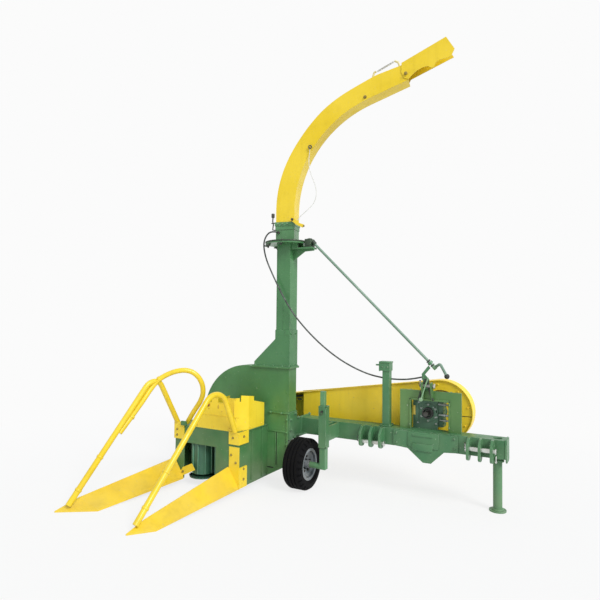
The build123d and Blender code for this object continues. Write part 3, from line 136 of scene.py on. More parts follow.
# Free cords: a black sheathed control cable that hangs from the collar, past the turntable, to its clip at
# the crank's support, and a thin pull cord from an eyelet on the spout down to the collar's lever.
beam_low, beam_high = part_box("main_beam")
pto_low, pto_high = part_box("pto_shaft")
ring_low, ring_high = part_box("turn_ring")
STUB_TO_LEFT = 0.025
HITCH = Vector(((beam_low.x + beam_high.x) / 2, (pto_low.y + pto_high.y) / 2 - STUB_TO_LEFT, 0))
TURN = Vector(((ring_low.x + ring_high.x) / 2, (ring_low.y + ring_high.y) / 2, 0))
SPOUT_YAW = radians(12)
REACH_WAY = Vector((-sin(SPOUT_YAW), cos(SPOUT_YAW), 0))
SIDE_WAY = Vector((cos(SPOUT_YAW), sin(SPOUT_YAW), 0))
X_WAY = Vector((1, 0, 0))
Y_WAY = Vector((0, 1, 0))
UP = Vector((0, 0, 1))


def at(x, y, z):
    """A place in millimetres from the hitch, in the model's metres."""
    return HITCH + Vector((x, y, z)) / 1000


def on_spout(reach, height, side):
    """A place in millimetres in the spout's own plane: reach from the tower, height, and to its side."""
    return TURN + (REACH_WAY * reach + SIDE_WAY * side + UP * height) / 1000


def srgb(red, green, blue):
    """A paint chart's red, green and blue, 0 to 255, as the shader takes them."""
    parts = [c / 255 for c in (red, green, blue)]
    return tuple(c / 12.92 if c < 0.04045 else ((c + 0.055) / 1.055) ** 2.4 for c in parts) + (1.0,)


def start_material(name):
    """A material with its shader, and the place on the piece that its patterns read."""
    material = bpy.data.materials.new(name)
    material.use_nodes = True
    tree = material.node_tree
    return material, tree, tree.nodes["Principled BSDF"], add_node(tree, "TexCoord").outputs["Object"]


def speckle(tree, place, scale, low, high, stretch=(1, 1, 1), shift=0.0, detail=5.0, top=1.0):
    """A cloud pattern as a share from 0 to top, rising between low and high."""
    spread = add_node(tree, "Mapping", {"Vector": place, "Scale": stretch,
                                        "Location": (shift, shift * 0.7, shift * 1.3)})
    cloud = add_node(tree, "TexNoise", {"Vector": spread.outputs[0], "Scale": scale, "Detail": detail})
    share = add_node(tree, "MapRange", {"Value": cloud.outputs["Fac"], "From Min": low, "From Max": high,
                                        "To Min": 0.0, "To Max": top})
    return share.outputs[0]


def tint(tree, share, below, above):
    """One colour laid over another by a share."""
    return add_node(tree, "MixRGB", {"Fac": share, "Color1": below, "Color2": above}).outputs[0]


def times(tree, one, other):
    """Two shares multiplied."""
    return add_node(tree, "Math", {0: one, 1: other}, operation="MULTIPLY").outputs[0]


def sheath(name, colour, scuffed, rough, pitch):
    """A cord's skin, or moulded rubber or plastic: fine rings or braid across its length, with scuffs."""
    material, tree, shader, place = start_material(name)
    worn = speckle(tree, place, 38, 0.42, 0.7)
    tree.links.new(tint(tree, worn, colour, scuffed), shader.inputs["Base Color"])
    rings = add_node(tree, "TexWave", {"Vector": place, "Scale": pitch, "Distortion": 1.5, "Detail": 2.0},
                     wave_type="BANDS", bands_direction="Z")
    relief = add_node(tree, "Bump", {"Strength": 0.35, "Distance": 0.0006, "Height": rings.outputs["Fac"]})
    tree.links.new(relief.outputs[0], shader.inputs["Normal"])
    shader.inputs["Roughness"].default_value = rough
    return material


def free_cord(name, node, body, route, radius, material, slot, **facts):
    """A cord as one smooth line through its route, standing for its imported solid."""
    line = bpy.data.curves.new(name, "CURVE")
    line.dimensions = "3D"
    spline = line.splines.new("NURBS")
    spline.points.add(len(route) - 1)
    for knot, spot in zip(spline.points, route):
        knot.co = (*spot, 1)
    spline.order_u = 3
    spline.use_endpoint_u = True
    spline.resolution_u = 10
    line.bevel_depth = radius
    line.bevel_resolution = 5
    line.use_fill_caps = True
    line.materials.append(material)
    cord = bpy.data.objects.new(name, line)
    bpy.context.scene.collection.objects.link(cord)
    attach(cord, body)
    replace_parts(cord, node)


CABLE_RADIUS = 0.006
cable_route = [at(*spot) for spot in (
    (296, -1085, 1962), (293, -1133, 1975), (290, -1181, 1955), (288, -1211, 1906), (287, -1214, 1844),
    (286, -1188, 1747), (285, -1120, 1613), (284, -1040, 1470), (280, -952, 1336), (248, -866, 1223),
    (205, -785, 1128), (160, -702, 1044), (112, -612, 970), (60, -515, 908), (3, -415, 860), (-50, -316, 836),
    (-68, -215, 830), (-58, -105, 841), (-39, -19, 865))]
cable_skin = sheath("cable_skin", srgb(44, 50, 46), srgb(96, 102, 98), 0.45, 60)
free_cord("control_cable_line", "control_cable", "frame", cable_route, CABLE_RADIUS, cable_skin,
          "cable_sheath", length=1.987, far_end="object", stiffness="medium", lay="hanging")
PULL_CORD_RADIUS = 0.0025
pull_route = [on_spout(*spot) for spot in (
    (203, 2618, 74), (197, 2562, 77), (196, 2502, 82), (204, 2443, 86), (222, 2388, 88), (245, 2335, 88),
    (261, 2280, 88), (259, 2222, 87), (236, 2170, 86), (191, 2130, 84), (150, 2098, 82), (125, 2078, 81),
    (111, 2053, 80))]
pull_skin = sheath("pull_skin", srgb(226, 226, 220), srgb(190, 188, 178), 0.85, 140)
free_cord("pull_cord_line", "pull_cord", "spout", pull_route, PULL_CORD_RADIUS, pull_skin, "white_cord",
          length=0.634, far_end="object", stiffness="limp", lay="hanging")

# Main beam and hitch: welded square tube, thick ears and stiffening plates, all sprayed green. The hitch
# pins are zinc plated; the plates' bolts are painted over with the rest.
DUST = srgb(150, 143, 118)
RUST = srgb(122, 80, 48)


def enamel(name, colour, faded, rubbed_and_highlit, gloss=0.36, wear_and_edge_highlight=0.8, grime=0.22, shift=0.0, rust=0.3,
           ease=0.0035, cloudy=1.0):
    """Sprayed enamel: clouded by sun, streaked by rain, dusty low down, and paler along its edges, where the
    paleness is partly rubbed paint and partly a painted highlight.
    """
    material, tree, shader, place = start_material(name)
    clouded = speckle(tree, place, 2.4, 0.36, 0.66, shift=shift, detail=4.0, top=cloudy)
    body = tint(tree, clouded, colour, faded)
    blotched = speckle(tree, place, 11, 0.5, 0.75, shift=shift + 3, detail=7.0, top=0.3 * cloudy)
    body = tint(tree, blotched, body, tuple(0.72 * c for c in colour[:3]) + (1,))
    streaked = speckle(tree, place, 5, 0.52, 0.8, stretch=(6, 6, 0.4), shift=shift + 5, top=0.2 * cloudy)
    body = tint(tree, streaked, body, tuple(0.6 * c for c in colour[:3]) + (1,))
    height = add_node(tree, "SeparateXYZ", {"Vector": place}).outputs["Z"]
    low_down = add_node(tree, "MapRange", {"Value": height, "From Min": 0.75, "From Max": 0.02,
                                           "To Min": 0.0, "To Max": grime}).outputs[0]
    dusty = times(tree, low_down, speckle(tree, place, 6, 0.36, 0.62, shift=shift + 7, detail=8.0))
    body = tint(tree, dusty, body, DUST)
    true_way = add_node(tree, "NewGeometry").outputs["Normal"]
    rounded = add_node(tree, "Bevel", {"Radius": ease}, samples=4).outputs[0]
    agree = add_node(tree, "VectorMath", {0: true_way, 1: rounded}, operation="DOT_PRODUCT").outputs["Value"]
    # Edges turn paler: partly rubbed paint, partly a painted highlight for light caught on the rounded edges.
    edge = add_node(tree, "MapRange", {"Value": agree, "From Min": 0.985, "From Max": 0.82,
                                       "To Min": 0.0, "To Max": wear_and_edge_highlight}).outputs[0]
    edge = times(tree, edge, speckle(tree, place, 26, 0.38, 0.6, shift=shift + 11, detail=6.0))
    chips = speckle(tree, place, 70, 0.70, 0.74, shift=shift + 13, detail=3.0, top=wear_and_edge_highlight)
    bare_and_edge_highlight = add_node(tree, "Math", {0: edge, 1: chips}, operation="MAXIMUM").outputs[0]
    rusty = speckle(tree, place, 30, 0.5, 0.66, shift=shift + 17, top=rust)
    body = tint(tree, bare_and_edge_highlight, body, tint(tree, rusty, rubbed_and_highlit, RUST))
    tree.links.new(body, shader.inputs["Base Color"])
    sheen = add_node(tree, "MapRange", {"Value": speckle(tree, place, 16, 0.3, 0.7, shift=shift + 19),
                                        "To Min": gloss - 0.07, "To Max": gloss + 0.14}).outputs[0]
    sheen = add_node(tree, "Math", {0: sheen, 1: times(tree, dusty, 0.5)}, operation="ADD").outputs[0]
    tree.links.new(sheen, shader.inputs["Roughness"])
    waves = add_node(tree, "TexNoise", {"Vector": place, "Scale": 7.0, "Detail": 2.0}).outputs["Fac"]
    peel = add_node(tree, "TexNoise", {"Vector": place, "Scale": 420.0, "Detail": 1.0}).outputs["Fac"]
    buckle = add_node(tree, "Bump", {"Strength": 0.22, "Distance": 0.006, "Height": waves, "Normal": rounded})
    skin = add_node(tree, "Bump", {"Strength": 0.10, "Distance": 0.0006, "Height": peel,
                                   "Normal": buckle.outputs[0]})
    flaked = add_node(tree, "Bump", {"Strength": 0.3, "Distance": 0.0004, "Height": bare_and_edge_highlight,
                                     "Normal": skin.outputs[0]}, invert=True)
    tree.links.new(flaked.outputs[0], shader.inputs["Normal"])
    return material


def bare_metal(name, colour, stained, rough, stain=0.6, metallic=1.0, shift=0.0):
    """Machined or plated steel: fine scratches, dull patches and stains in the corners."""
    material, tree, shader, place = start_material(name)
    patches = speckle(tree, place, 14, 0.42, 0.68, shift=shift, top=stain)
    tree.links.new(tint(tree, patches, colour, stained), shader.inputs["Base Color"])
    scored = speckle(tree, place, 60, 0.35, 0.65, stretch=(1, 1, 9), shift=shift + 2)
    shine = add_node(tree, "MapRange", {"Value": scored, "To Min": rough - 0.08, "To Max": rough + 0.12})
    tree.links.new(shine.outputs[0], shader.inputs["Roughness"])
    rounded = add_node(tree, "Bevel", {"Radius": 0.0015}, samples=4).outputs[0]
    relief = add_node(tree, "Bump", {"Strength": 0.25, "Distance": 0.0004, "Height": scored,
                                     "Normal": rounded})
    tree.links.new(relief.outputs[0], shader.inputs["Normal"])
    shader.inputs["Metallic"].default_value = metallic
    return material


def give(material, *nodes):
    """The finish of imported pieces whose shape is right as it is."""
    for name in nodes:
        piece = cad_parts[name]
        if not piece.material_slots:
            piece.data.materials.append(material)
        for held in piece.material_slots:
            held.material = material


def new_piece(name, shape, body, material, sharp=32):
    """A modelled shape as a finished piece on its body: faces outwards, smooth where it is round."""
    bmesh.ops.recalc_face_normals(shape, faces=shape.faces)
    mesh = bpy.data.meshes.new(name)
    for face in shape.faces:
        face.smooth = True
    shape.to_mesh(mesh)
    shape.free()
    mesh.set_sharp_from_angle(angle=radians(sharp))
    mesh.materials.append(material)
    piece = bpy.data.objects.new(name, mesh)
    bpy.context.scene.collection.objects.link(piece)
    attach(piece, body)
    return piece


def facing(spot, way):
    """Stands a shape made round Z at a spot, facing a way."""
    return Matrix.Translation(spot) @ Vector(way).to_track_quat("Z", "Y").to_matrix().to_4x4()


def soften(shape, verts, amount, segments=2):
    """A rounded edge all round the faces that these corners hold."""
    crisp = 0.5    # radians between faces, above which their edge is rounded
    edges = {e for v in verts for e in v.link_edges
             if len(e.link_faces) == 2 and e.calc_face_angle(0) > crisp}
    bmesh.ops.bevel(shape, geom=list(edges), offset=amount, offset_type="OFFSET", segments=segments,
                    profile=0.5, affect="EDGES", material=-1, clamp_overlap=True)


def disc(shape, spot, way, radius, thick, top=None, sides=24, eased=0.0, segments=2):
    """A round or tapered slug that stands on a face and points the way given."""
    stand = facing(Vector(spot) + Vector(way).normalized() * thick / 2, way)
    verts = bmesh.ops.create_cone(shape, cap_ends=True, segments=sides, radius1=radius,
                                  radius2=radius if top is None else top, depth=thick, matrix=stand)["verts"]
    if eased:
        soften(shape, verts, eased, segments)


def slab(shape, low, high, eased=0.002):
    """A plate or block between two corners, with its edges eased."""
    low, high = Vector(low), Vector(high)
    size = high - low
    place = Matrix.Translation((low + high) / 2) @ Matrix.Diagonal((*size, 1))
    verts = bmesh.ops.create_cube(shape, size=1, matrix=place)["verts"]
    soften(shape, verts, min(eased, 0.4 * min(abs(c) for c in size)))


def bolts(name, body, seats, across, material):
    """Hexagon bolts: a washer, a head with its corners turned off and a short end of thread."""
    shape = bmesh.new()
    washer, head, thread = 0.12 * across, 0.42 * across, 0.2 * across
    for spot, way in seats:
        foot = Vector(spot)
        way = Vector(way).normalized()
        disc(shape, foot, way, 0.66 * across, washer, sides=16)
        disc(shape, foot + way * washer, way, 0.577 * across, head, top=0.5 * across, sides=6,
             eased=0.05 * across, segments=1)
        disc(shape, foot + way * (washer + head), way, 0.27 * across, thread, top=0.22 * across, sides=10)
    new_piece(name, shape, body, material)


def bent_bar(shape, places, radius, sides=10):
    """A round bar drawn out from place to place, square to its way at each."""
    spots = [Vector(spot) for spot in places]
    ways = [(after - before).normalized() for before, after in zip(spots, spots[1:])]
    start = bmesh.ops.create_circle(shape, cap_ends=True, segments=sides, radius=radius,
                                    matrix=facing(spots[0], ways[0]))["verts"]
    lid = start[0].link_faces[0]
    normal = ways[0]
    for step, way in enumerate(ways):
        made = bmesh.ops.extrude_face_region(shape, geom=[lid])["geom"]
        ring = [part for part in made if isinstance(part, bmesh.types.BMVert)]
        lid = [part for part in made if isinstance(part, bmesh.types.BMFace)][0]
        bmesh.ops.translate(shape, verts=ring, vec=spots[step + 1] - spots[step])
        square = (way + ways[min(step + 1, len(ways) - 1)]).normalized()
        lean = normal.rotation_difference(square).to_matrix()
        bmesh.ops.rotate(shape, verts=ring, cent=spots[step + 1], matrix=lean)
        normal = square


def round_way(centre, one, other, radius, turn=1.0, steps=20, start=0.0):
    """Places round part of a circle that lies along two ways."""
    return [Vector(centre) + (Vector(one) * cos(a) + Vector(other) * sin(a)) * radius
            for a in (2 * pi * (start + turn * n / steps) for n in range(steps + 1))]


beam_green = enamel("beam_enamel", srgb(62, 116, 74), srgb(84, 136, 94), srgb(172, 196, 168), shift=4.0,
                    wear_and_edge_highlight=0.9)
zinc = bare_metal("zinc_plate", srgb(214, 216, 212), srgb(150, 146, 132), 0.32)
dull_steel = bare_metal("dull_steel", srgb(92, 94, 92), srgb(58, 50, 42), 0.45)
worn_zinc = bare_metal("worn_pin", srgb(150, 153, 147), srgb(96, 92, 82), 0.45)
give(beam_green, "main_beam", "beam_flange", "beam_end_cap", "front_plate", "hitch_ears_left",
     "hitch_ears_right", "stand_socket", "wheel_sleeve")
give(zinc, "hitch_pin_left", "hitch_pin_right")
give(worn_zinc, "top_link_pin")
PLATE_FACE = 72.5
POCKET_FACE = PLATE_FACE + 6
pocket = bmesh.new()
slab(pocket, at(PLATE_FACE, -96, 372), at(POCKET_FACE, 128, 482), 0.003)
slab(pocket, at(POCKET_FACE, -62, 352), at(POCKET_FACE + 5.5, 86, 402), 0.004)
slab(pocket, at(POCKET_FACE, -62, 452), at(POCKET_FACE + 5.5, 86, 470), 0.003)
new_piece("front_plate_pocket", pocket, "frame", beam_green)
plate_seats = [(at(PLATE_FACE, y, z), X_WAY) for y in (-180, 236) for z in (392, 462)]
bolts("front_plate_bolts", "frame", plate_seats, 0.015, beam_green)

# Pin ends: a zinc collar at one end of each of the hitch's three pins, and at the other a linch pin pushed
# through it, with a spring ring of dull wire.
LINCH_RADIUS = 0.0045
fittings = bmesh.new()
rings = bmesh.new()
for node in ("hitch_pin_left", "hitch_pin_right", "top_link_pin"):
    low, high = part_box(node)
    middle = (low + high) / 2
    pin_radius = (high.z - low.z) / 2
    linch = Vector((middle.x, low.y + 0.004, middle.z))
    disc(fittings, (middle.x, high.y - 0.001, middle.z), Y_WAY, pin_radius * 1.45, 0.008, eased=0.0015)
    disc(fittings, linch + UP * pin_radius * 0.9, UP, LINCH_RADIUS, 0.028, sides=12)
    disc(fittings, linch - UP * pin_radius * 1.6, UP, LINCH_RADIUS, pin_radius * 0.8, sides=12)
    ring_middle = linch + UP * pin_radius * 1.5 + X_WAY * 0.020
    bent_bar(rings, round_way(ring_middle, -X_WAY, -UP, 0.021), 0.0021, 8)
new_piece("pin_fittings", fittings, "frame", zinc)
new_piece("pin_spring_rings", rings, "frame", dull_steel)

# Welds and flange bolts: a bead up both faces of each hitch ear and along the edges of the beam's flange and
# end cap, and eight bolts through the flange. All of it is painted over with the beam.
EAR_THICK = 0.016
EARS_IN_A_SET = 3
welds = bmesh.new()
for node in ("hitch_ears_left", "hitch_ears_right"):
    low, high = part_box(node)
    ear_pitch = (high.y - low.y - EAR_THICK) / (EARS_IN_A_SET - 1)
    for step in range(EARS_IN_A_SET):
        for side in (0.0, EAR_THICK):
            bead_y = low.y + step * ear_pitch + side
            bent_bar(welds, [(beam_high.x + 0.002, bead_y, beam_low.z + 0.004),
                             (beam_high.x + 0.003, bead_y, beam_low.z + 0.05),
                             (beam_high.x + 0.002, bead_y, beam_high.z - 0.004)], 0.0042, 8)
bent_bar(welds, [at(-60, -977, 490), at(62, -977, 490)], 0.006, 8)
bent_bar(welds, [at(63, -977, 486), at(63, -977, 368)], 0.006, 8)
bent_bar(welds, [at(-60, 566, 490), at(62, 566, 490), at(63, 566, 368)], 0.005, 8)
new_piece("beam_welds", welds, "frame", beam_green, sharp=60)
FLANGE_FACE = -978
flange_seats = [(at(x, FLANGE_FACE, z), Y_WAY)
                for x, z in ((-70, 498), (-70, 356), (120, 356), (180, 356), (236, 420), (236, 498),
                             (164, 536), (120, 498))]
bolts("beam_flange_bolts", "frame", flange_seats, 0.020, beam_green)

# Parking stand: a round tube leg that slides in the socket at the beam's left end, painted green. A bent
# zinc pin with a handle holds it, and its foot is a pressed disc with a weld round it.
give(beam_green, "parking_stand")
stand_low, stand_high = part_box("parking_stand")
stand_middle = (stand_low + stand_high) / 2
foot_weld = bmesh.new()
disc(foot_weld, (stand_middle.x, stand_middle.y, 0.0098), UP, 0.044, 0.010, top=0.033, sides=40, eased=0.002)
new_piece("stand_foot_weld", foot_weld, "parking_stand", beam_green)
STOP_PIN_Y = 508
stop_pin = bmesh.new()
bent_bar(stop_pin, [at(66, STOP_PIN_Y, 340), at(-66, STOP_PIN_Y, 340)], 0.0065, 12)
handle = ((64, 340), (74, 340), (78, 346), (78, 372), (74, 378), (64, 378))    # x, z
bent_bar(stop_pin, [at(x, STOP_PIN_Y, z) for x, z in handle], 0.0055, 10)
new_piece("stand_stop_pin", stop_pin, "frame", zinc)
socket_collar = bmesh.new()
disc(socket_collar, (stand_middle.x, stand_middle.y, 0.334), UP, 0.0425, 0.014, sides=40)
new_piece("stand_collar", socket_collar, "frame", beam_green)

# Gearbox mast: a welded plate frame on the beam that carries the top-link ears, in a yellower green. Its
# window has a bolted edge, and two dark braces and the crank's lever rod stand in front of it.
mast_green = enamel("mast_enamel", srgb(78, 122, 66), srgb(98, 138, 78), srgb(176, 190, 160), shift=8.0)
lever_green = enamel("lever_enamel", srgb(118, 160, 118), srgb(138, 176, 136), srgb(200, 206, 190), shift=9.0)
dark_paint = enamel("dark_enamel", srgb(38, 50, 40), srgb(52, 62, 50), srgb(120, 124, 112), shift=10.0,
                    gloss=0.45)
give(mast_green, "gearbox_mast", "top_link_ears")
MAST_FACE, WINDOW_FACE = 6, 13
window = bmesh.new()
slab(window, at(MAST_FACE, -104, 489), at(WINDOW_FACE, -92, 712))
slab(window, at(MAST_FACE, 180, 489), at(WINDOW_FACE, 192, 712))
slab(window, at(MAST_FACE, -104, 700), at(WINDOW_FACE, 192, 714))
new_piece("mast_window_frame", window, "frame", mast_green)
window_seats = [(at(WINDOW_FACE, y, z), X_WAY) for y in (-98, 186) for z in (520, 680)]
bolts("mast_window_bolts", "frame", window_seats, 0.012, mast_green)
braces = bmesh.new()
for low_y, high_y in ((-31, 20), (76, 38)):
    knee_y = (low_y + high_y) / 2 - 4
    bent_bar(braces, [at(24, low_y, 708), at(36, knee_y, 770), at(34, high_y, 852)], 0.0075)
slab(braces, at(26, 14, 838), at(42, 44, 862), 0.003)
new_piece("mast_braces", braces, "frame", dark_paint)
lever = bmesh.new()
bent_bar(lever, [at(52, -4, 716), at(52, 18, 790), at(50, 46, 872)], 0.0055, 12)
disc(lever, at(46, -7, 712), X_WAY, 0.014, 0.012, eased=0.002)
new_piece("mast_lever_rod", lever, "frame", lever_green)


# Gearbox: a ribbed casting behind the mast's window, in a bluer green, with bolted covers. Its stub has six
# splines and turns inside a black plastic cup; three studs with nuts stand at its left.
def block(shape, size, spot, turn=0.0, about="Z", eased=0.0, segments=2):
    """A small block, turned about its own middle and stood at a spot."""
    stand = Matrix.Translation(spot) @ Matrix.Rotation(turn, 4, about) @ Matrix.Diagonal((*size, 1))
    verts = bmesh.ops.create_cube(shape, size=1, matrix=stand)["verts"]
    if eased:
        soften(shape, verts, eased, segments)


def round_axle(centre, radius, a):
    """A place round an axis that runs fore and aft, at an angle from the machine's left."""
    return Vector(centre) + (Y_WAY * cos(a) + UP * sin(a)) * radius


cup_plastic = sheath("cup_plastic", srgb(22, 24, 23), srgb(52, 54, 50), 0.5, 90)
give(cup_plastic, "pto_shield")
give(dull_steel, "pto_shaft")
casting = enamel("casting_enamel", srgb(62, 100, 78), srgb(84, 122, 98), srgb(170, 178, 164), shift=12.0,
                 gloss=0.5, rust=0.6)
give(casting, "gearbox")
box_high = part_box("gearbox")[1]
COVER_FACE = box_high.x - 0.008
SIXTHS = [n * pi / 3 for n in range(6)]
pto_middle = Vector((0, (pto_low.y + pto_high.y) / 2, (pto_low.z + pto_high.z) / 2))
covers = bmesh.new()
disc(covers, pto_middle + X_WAY * COVER_FACE, X_WAY, 0.066, 0.006, sides=48, eased=0.0015)
for y, z, wide, tall in ((-62, 608, 30, 150), (84, 640, 10, 60)):
    slab(covers, at(-40, y - wide / 2, z - tall / 2), at(-34, y + wide / 2, z + tall / 2))
for rib_z in (530, 576, 622, 668):
    slab(covers, at(-146, 127, rib_z), at(-70, 133, rib_z + 7))
    slab(covers, at(-152, -60, rib_z), at(-146, 30, rib_z + 7))
disc(covers, at(-95, -30, 700), UP, 0.022, 0.010, sides=6, eased=0.001, segments=1)
disc(covers, at(-146, 88, 608), -X_WAY, 0.048, 0.008, sides=48, eased=0.002)
new_piece("gearbox_covers", covers, "frame", casting)
cover_steel = bare_metal("cover_steel", srgb(168, 178, 174), srgb(104, 112, 98), 0.42, metallic=0.8,
                         shift=3.0)
gearbox_seats = [(Vector((COVER_FACE, at(0, y, z).y, at(0, y, z).z)), X_WAY)
                 for y, z in ((-53, 531), (80, 531), (-46, 679), (60, 648), (-74, 608), (84, 580))]
cup_face = pto_middle + X_WAY * (COVER_FACE + 0.006)
gearbox_seats += [(round_axle(cup_face, 0.058, a + pi / 6), X_WAY) for a in SIXTHS]
gearbox_seats += [(round_axle(at(-154, 88, 608), 0.040, a), -X_WAY) for a in SIXTHS]
bolts("gearbox_bolts", "frame", gearbox_seats, 0.013, cover_steel)
stud_steel = bare_metal("stud_steel", srgb(150, 158, 156), srgb(96, 98, 88), 0.4, metallic=0.8, shift=2.0)
STUD_X = -30
studs = bmesh.new()
for z, low_y, high_y, radius in ((675, 100, 176, 0.007), (600, 104, 174, 0.008), (562, 109, 173, 0.006)):
    bent_bar(studs, [at(STUD_X, low_y, z), at(STUD_X, high_y, z)], radius, 12)
    disc(studs, at(STUD_X, (low_y + high_y) / 2, z), Y_WAY, radius * 1.7, 0.014, sides=6, eased=0.001,
         segments=1)
new_piece("gearbox_studs", studs, "frame", stud_steel)
yellow_tag = enamel("tag_enamel", srgb(216, 190, 74), srgb(200, 176, 80), srgb(160, 150, 120), shift=14.0)
tag = bmesh.new()
slab(tag, at(-36, -92, 585), at(-28, -70, 655))
new_piece("gearbox_lock_strip", tag, "frame", yellow_tag)
STUB_ROOT_RADIUS = 0.0166
spline_middle = pto_middle + X_WAY * (pto_high.x - 0.027)
splines = bmesh.new()
for a in SIXTHS:
    spot = round_axle(spline_middle, STUB_ROOT_RADIUS, a + pi / 6)
    block(splines, (0.050, 0.0074, 0.0030), spot, a - pi / 3, "X", eased=0.0006, segments=1)
new_piece("pto_splines", splines, "pto", dull_steel)
lips = bmesh.new()
for x, radius in ((-7, 0.0385), (-31, 0.0395)):
    lip_middle = pto_middle + X_WAY * at(x, 0, 0).x
    bent_bar(lips, round_way(lip_middle, Y_WAY, UP, radius, steps=40), 0.0016, 8)
new_piece("pto_shield_lips", lips, "frame", cup_plastic)

# Crank: a long rod from the worm box to an eye above the mast, bent to an arm with a black ball. Collars
# are pinned on the rod, and its support is bolted to the mast with the control cable's clip.
rod_green = enamel("rod_enamel", srgb(104, 136, 116), srgb(126, 152, 134), srgb(170, 180, 168), shift=15.0,
                   wear_and_edge_highlight=0.7)
give(rod_green, "crank_rod")
give(cup_plastic, "crank_knob")
give(beam_green, "crank_support")
ROD_END = at(-30, 72, 940)
ROD_TOP = TURN + Vector((0, 0.219, 1.893))
rod_way = (ROD_END - ROD_TOP).normalized()
collars = bmesh.new()
for along, radius, thick in ((-0.026, 0.0165, 0.008), (-0.068, 0.0165, 0.010), (-1.32, 0.0185, 0.016)):
    disc(collars, ROD_END + rod_way * along, rod_way, radius, thick, eased=0.0015)
new_piece("crank_collars", collars, "crank", dark_paint)
knuckle = bmesh.new()
disc(knuckle, ROD_END - rod_way * 0.015, rod_way, 0.0155, 0.030, sides=20, eased=0.003)
new_piece("crank_knuckle", knuckle, "crank", lever_green)
support_seats = [(at(-22, y, z), X_WAY) for y, z in ((-4, 756), (24, 756), (-10, 800), (22, 800))]
bolts("crank_support_bolts", "frame", support_seats, 0.009, dull_steel)
clip = bmesh.new()
bent_bar(clip, round_way(at(-38, -14, 865), X_WAY, UP, 0.0085, steps=16), 0.0022, 8)
slab(clip, at(-44, -24, 846), at(-32, -8, 856), 0.001)
new_piece("cable_clip", clip, "frame", dull_steel)

# Support post: a square tube that stands on the beam, green like it. It has a folded head plate with two
# bolts and a foot plate with four.
give(beam_green, "support_post")
BEAM_TOP, POST_FOOT = 489, 497
post_plates = bmesh.new()
slab(post_plates, at(-38, -332, 958), at(38, -244, 970), 0.003)
slab(post_plates, at(-38, -332, 896), at(38, -326, 960))
slab(post_plates, at(-48, -322, BEAM_TOP), at(48, -238, POST_FOOT), 0.003)
new_piece("post_head_plates", post_plates, "frame", beam_green)
post_seats = [(at(x, y, POST_FOOT), UP) for x in (-39, 39) for y in (-312, -248)]
post_seats += [(at(34, y, 930), X_WAY) for y in (-306, -262)]
bolts("post_bolts", "frame", post_seats, 0.011, beam_green)

# Belt drive: two cast pulleys with grooves turned in them, the rubber belts between them, and the rotor
# that the driven pulley turns, a plain steel disc inside the casing.
pulley_grey = bare_metal("pulley_casting", srgb(118, 122, 118), srgb(82, 78, 68), 0.5, metallic=0.6)
belt_rubber = sheath("belt_rubber", srgb(26, 27, 26), srgb(58, 56, 52), 0.75, 70)
give(pulley_grey, "drive_pulley", "driven_pulley")
give(belt_rubber, "drive_belts")
give(dull_steel, "chopping_rotor")

# Belt guard: a sheet tray over both pulleys with a lid in front, yellow, with a rolled hem round the edge.
# The tray and lid are a brighter yellow than the hem and the spout, painted light that lifts the shade on the
# recessed lid. The lid has a slot at each end and a curved vent, drawn as thin black strips of painted shade,
# and green brackets carry the tray.
hem_yellow = enamel("yellow_enamel", srgb(232, 198, 30), srgb(238, 208, 54), srgb(196, 184, 140), shift=20.0,
                    wear_and_edge_highlight=0.5, grime=0.15, rust=0.25, ease=0.0014)
# A brighter copy of the yellow: painted light that lifts the shade on the recessed lid.
guard_yellow_lit = enamel("guard_lit_enamel", srgb(255, 216, 44), srgb(255, 222, 66), srgb(176, 162, 110), shift=23.0,
                      wear_and_edge_highlight=0.8, grime=0.15, ease=0.0012, cloudy=0.8)
bracket_green = enamel("green_enamel", srgb(68, 124, 76), srgb(88, 140, 92), srgb(168, 190, 160))
# Near black, for painted shade in slots, gaps and grooves.
hole_shade_black = bare_metal("hole_shadow", srgb(24, 28, 24), srgb(40, 40, 34), 0.7, metallic=0.0)
give(guard_yellow_lit, "belt_guard_tray", "belt_guard_front")
give(bracket_green, "guard_brackets")
GUARD_FRONT = (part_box("belt_guard_tray")[1].x - HITCH.x) * 1000
LID_FACE, HEM_X = GUARD_FRONT - 11, GUARD_FRONT - 3
PULLEY_Y, PULLEY_Z = 88, 608
hem = bmesh.new()
bent_bar(hem, round_way(at(HEM_X, PULLEY_Y, PULLEY_Z), Y_WAY, UP, 0.2262, turn=0.53, start=-0.24, steps=48),
         0.0042, 8)
bent_bar(hem, [at(HEM_X, 72, 834), at(HEM_X, -690, 724), at(HEM_X, -1080, 668)], 0.0040, 8)
bent_bar(hem, [at(HEM_X, 102, 382), at(HEM_X, -690, 344)], 0.0040, 8)
new_piece("guard_hem", hem, "frame", hem_yellow)
guard_seats = [(round_axle(at(LID_FACE, PULLEY_Y, PULLEY_Z), 0.196, a), X_WAY)
               for a in (-1.2, -0.5, 0.2, 0.9, 1.7)]
bolts("guard_bolts", "frame", guard_seats, 0.012, guard_yellow_lit)
# The slots are thin black strips on the lid: painted shade for the dark inside them.
slots = bmesh.new()
slab(slots, at(LID_FACE, -1138, 588), at(LID_FACE + 1.5, -1098, 600), 0.001)
slab(slots, at(LID_FACE, 214, 581), at(LID_FACE + 1.2, 308, 586), 0.001)
new_piece("guard_slot_shade", slots, "frame", hole_shade_black)
# The vent is a black bar along an arc: painted shade for the dark gap round the pulley.
vent = bmesh.new()
vent_centre = at(LID_FACE + 0.5, PULLEY_Y, PULLEY_Z)
bent_bar(vent, round_way(vent_centre, Y_WAY, UP, 0.150, turn=0.20, start=0.13), 0.0035, 8)
new_piece("guard_vent_shade", vent, "frame", hole_shade_black)

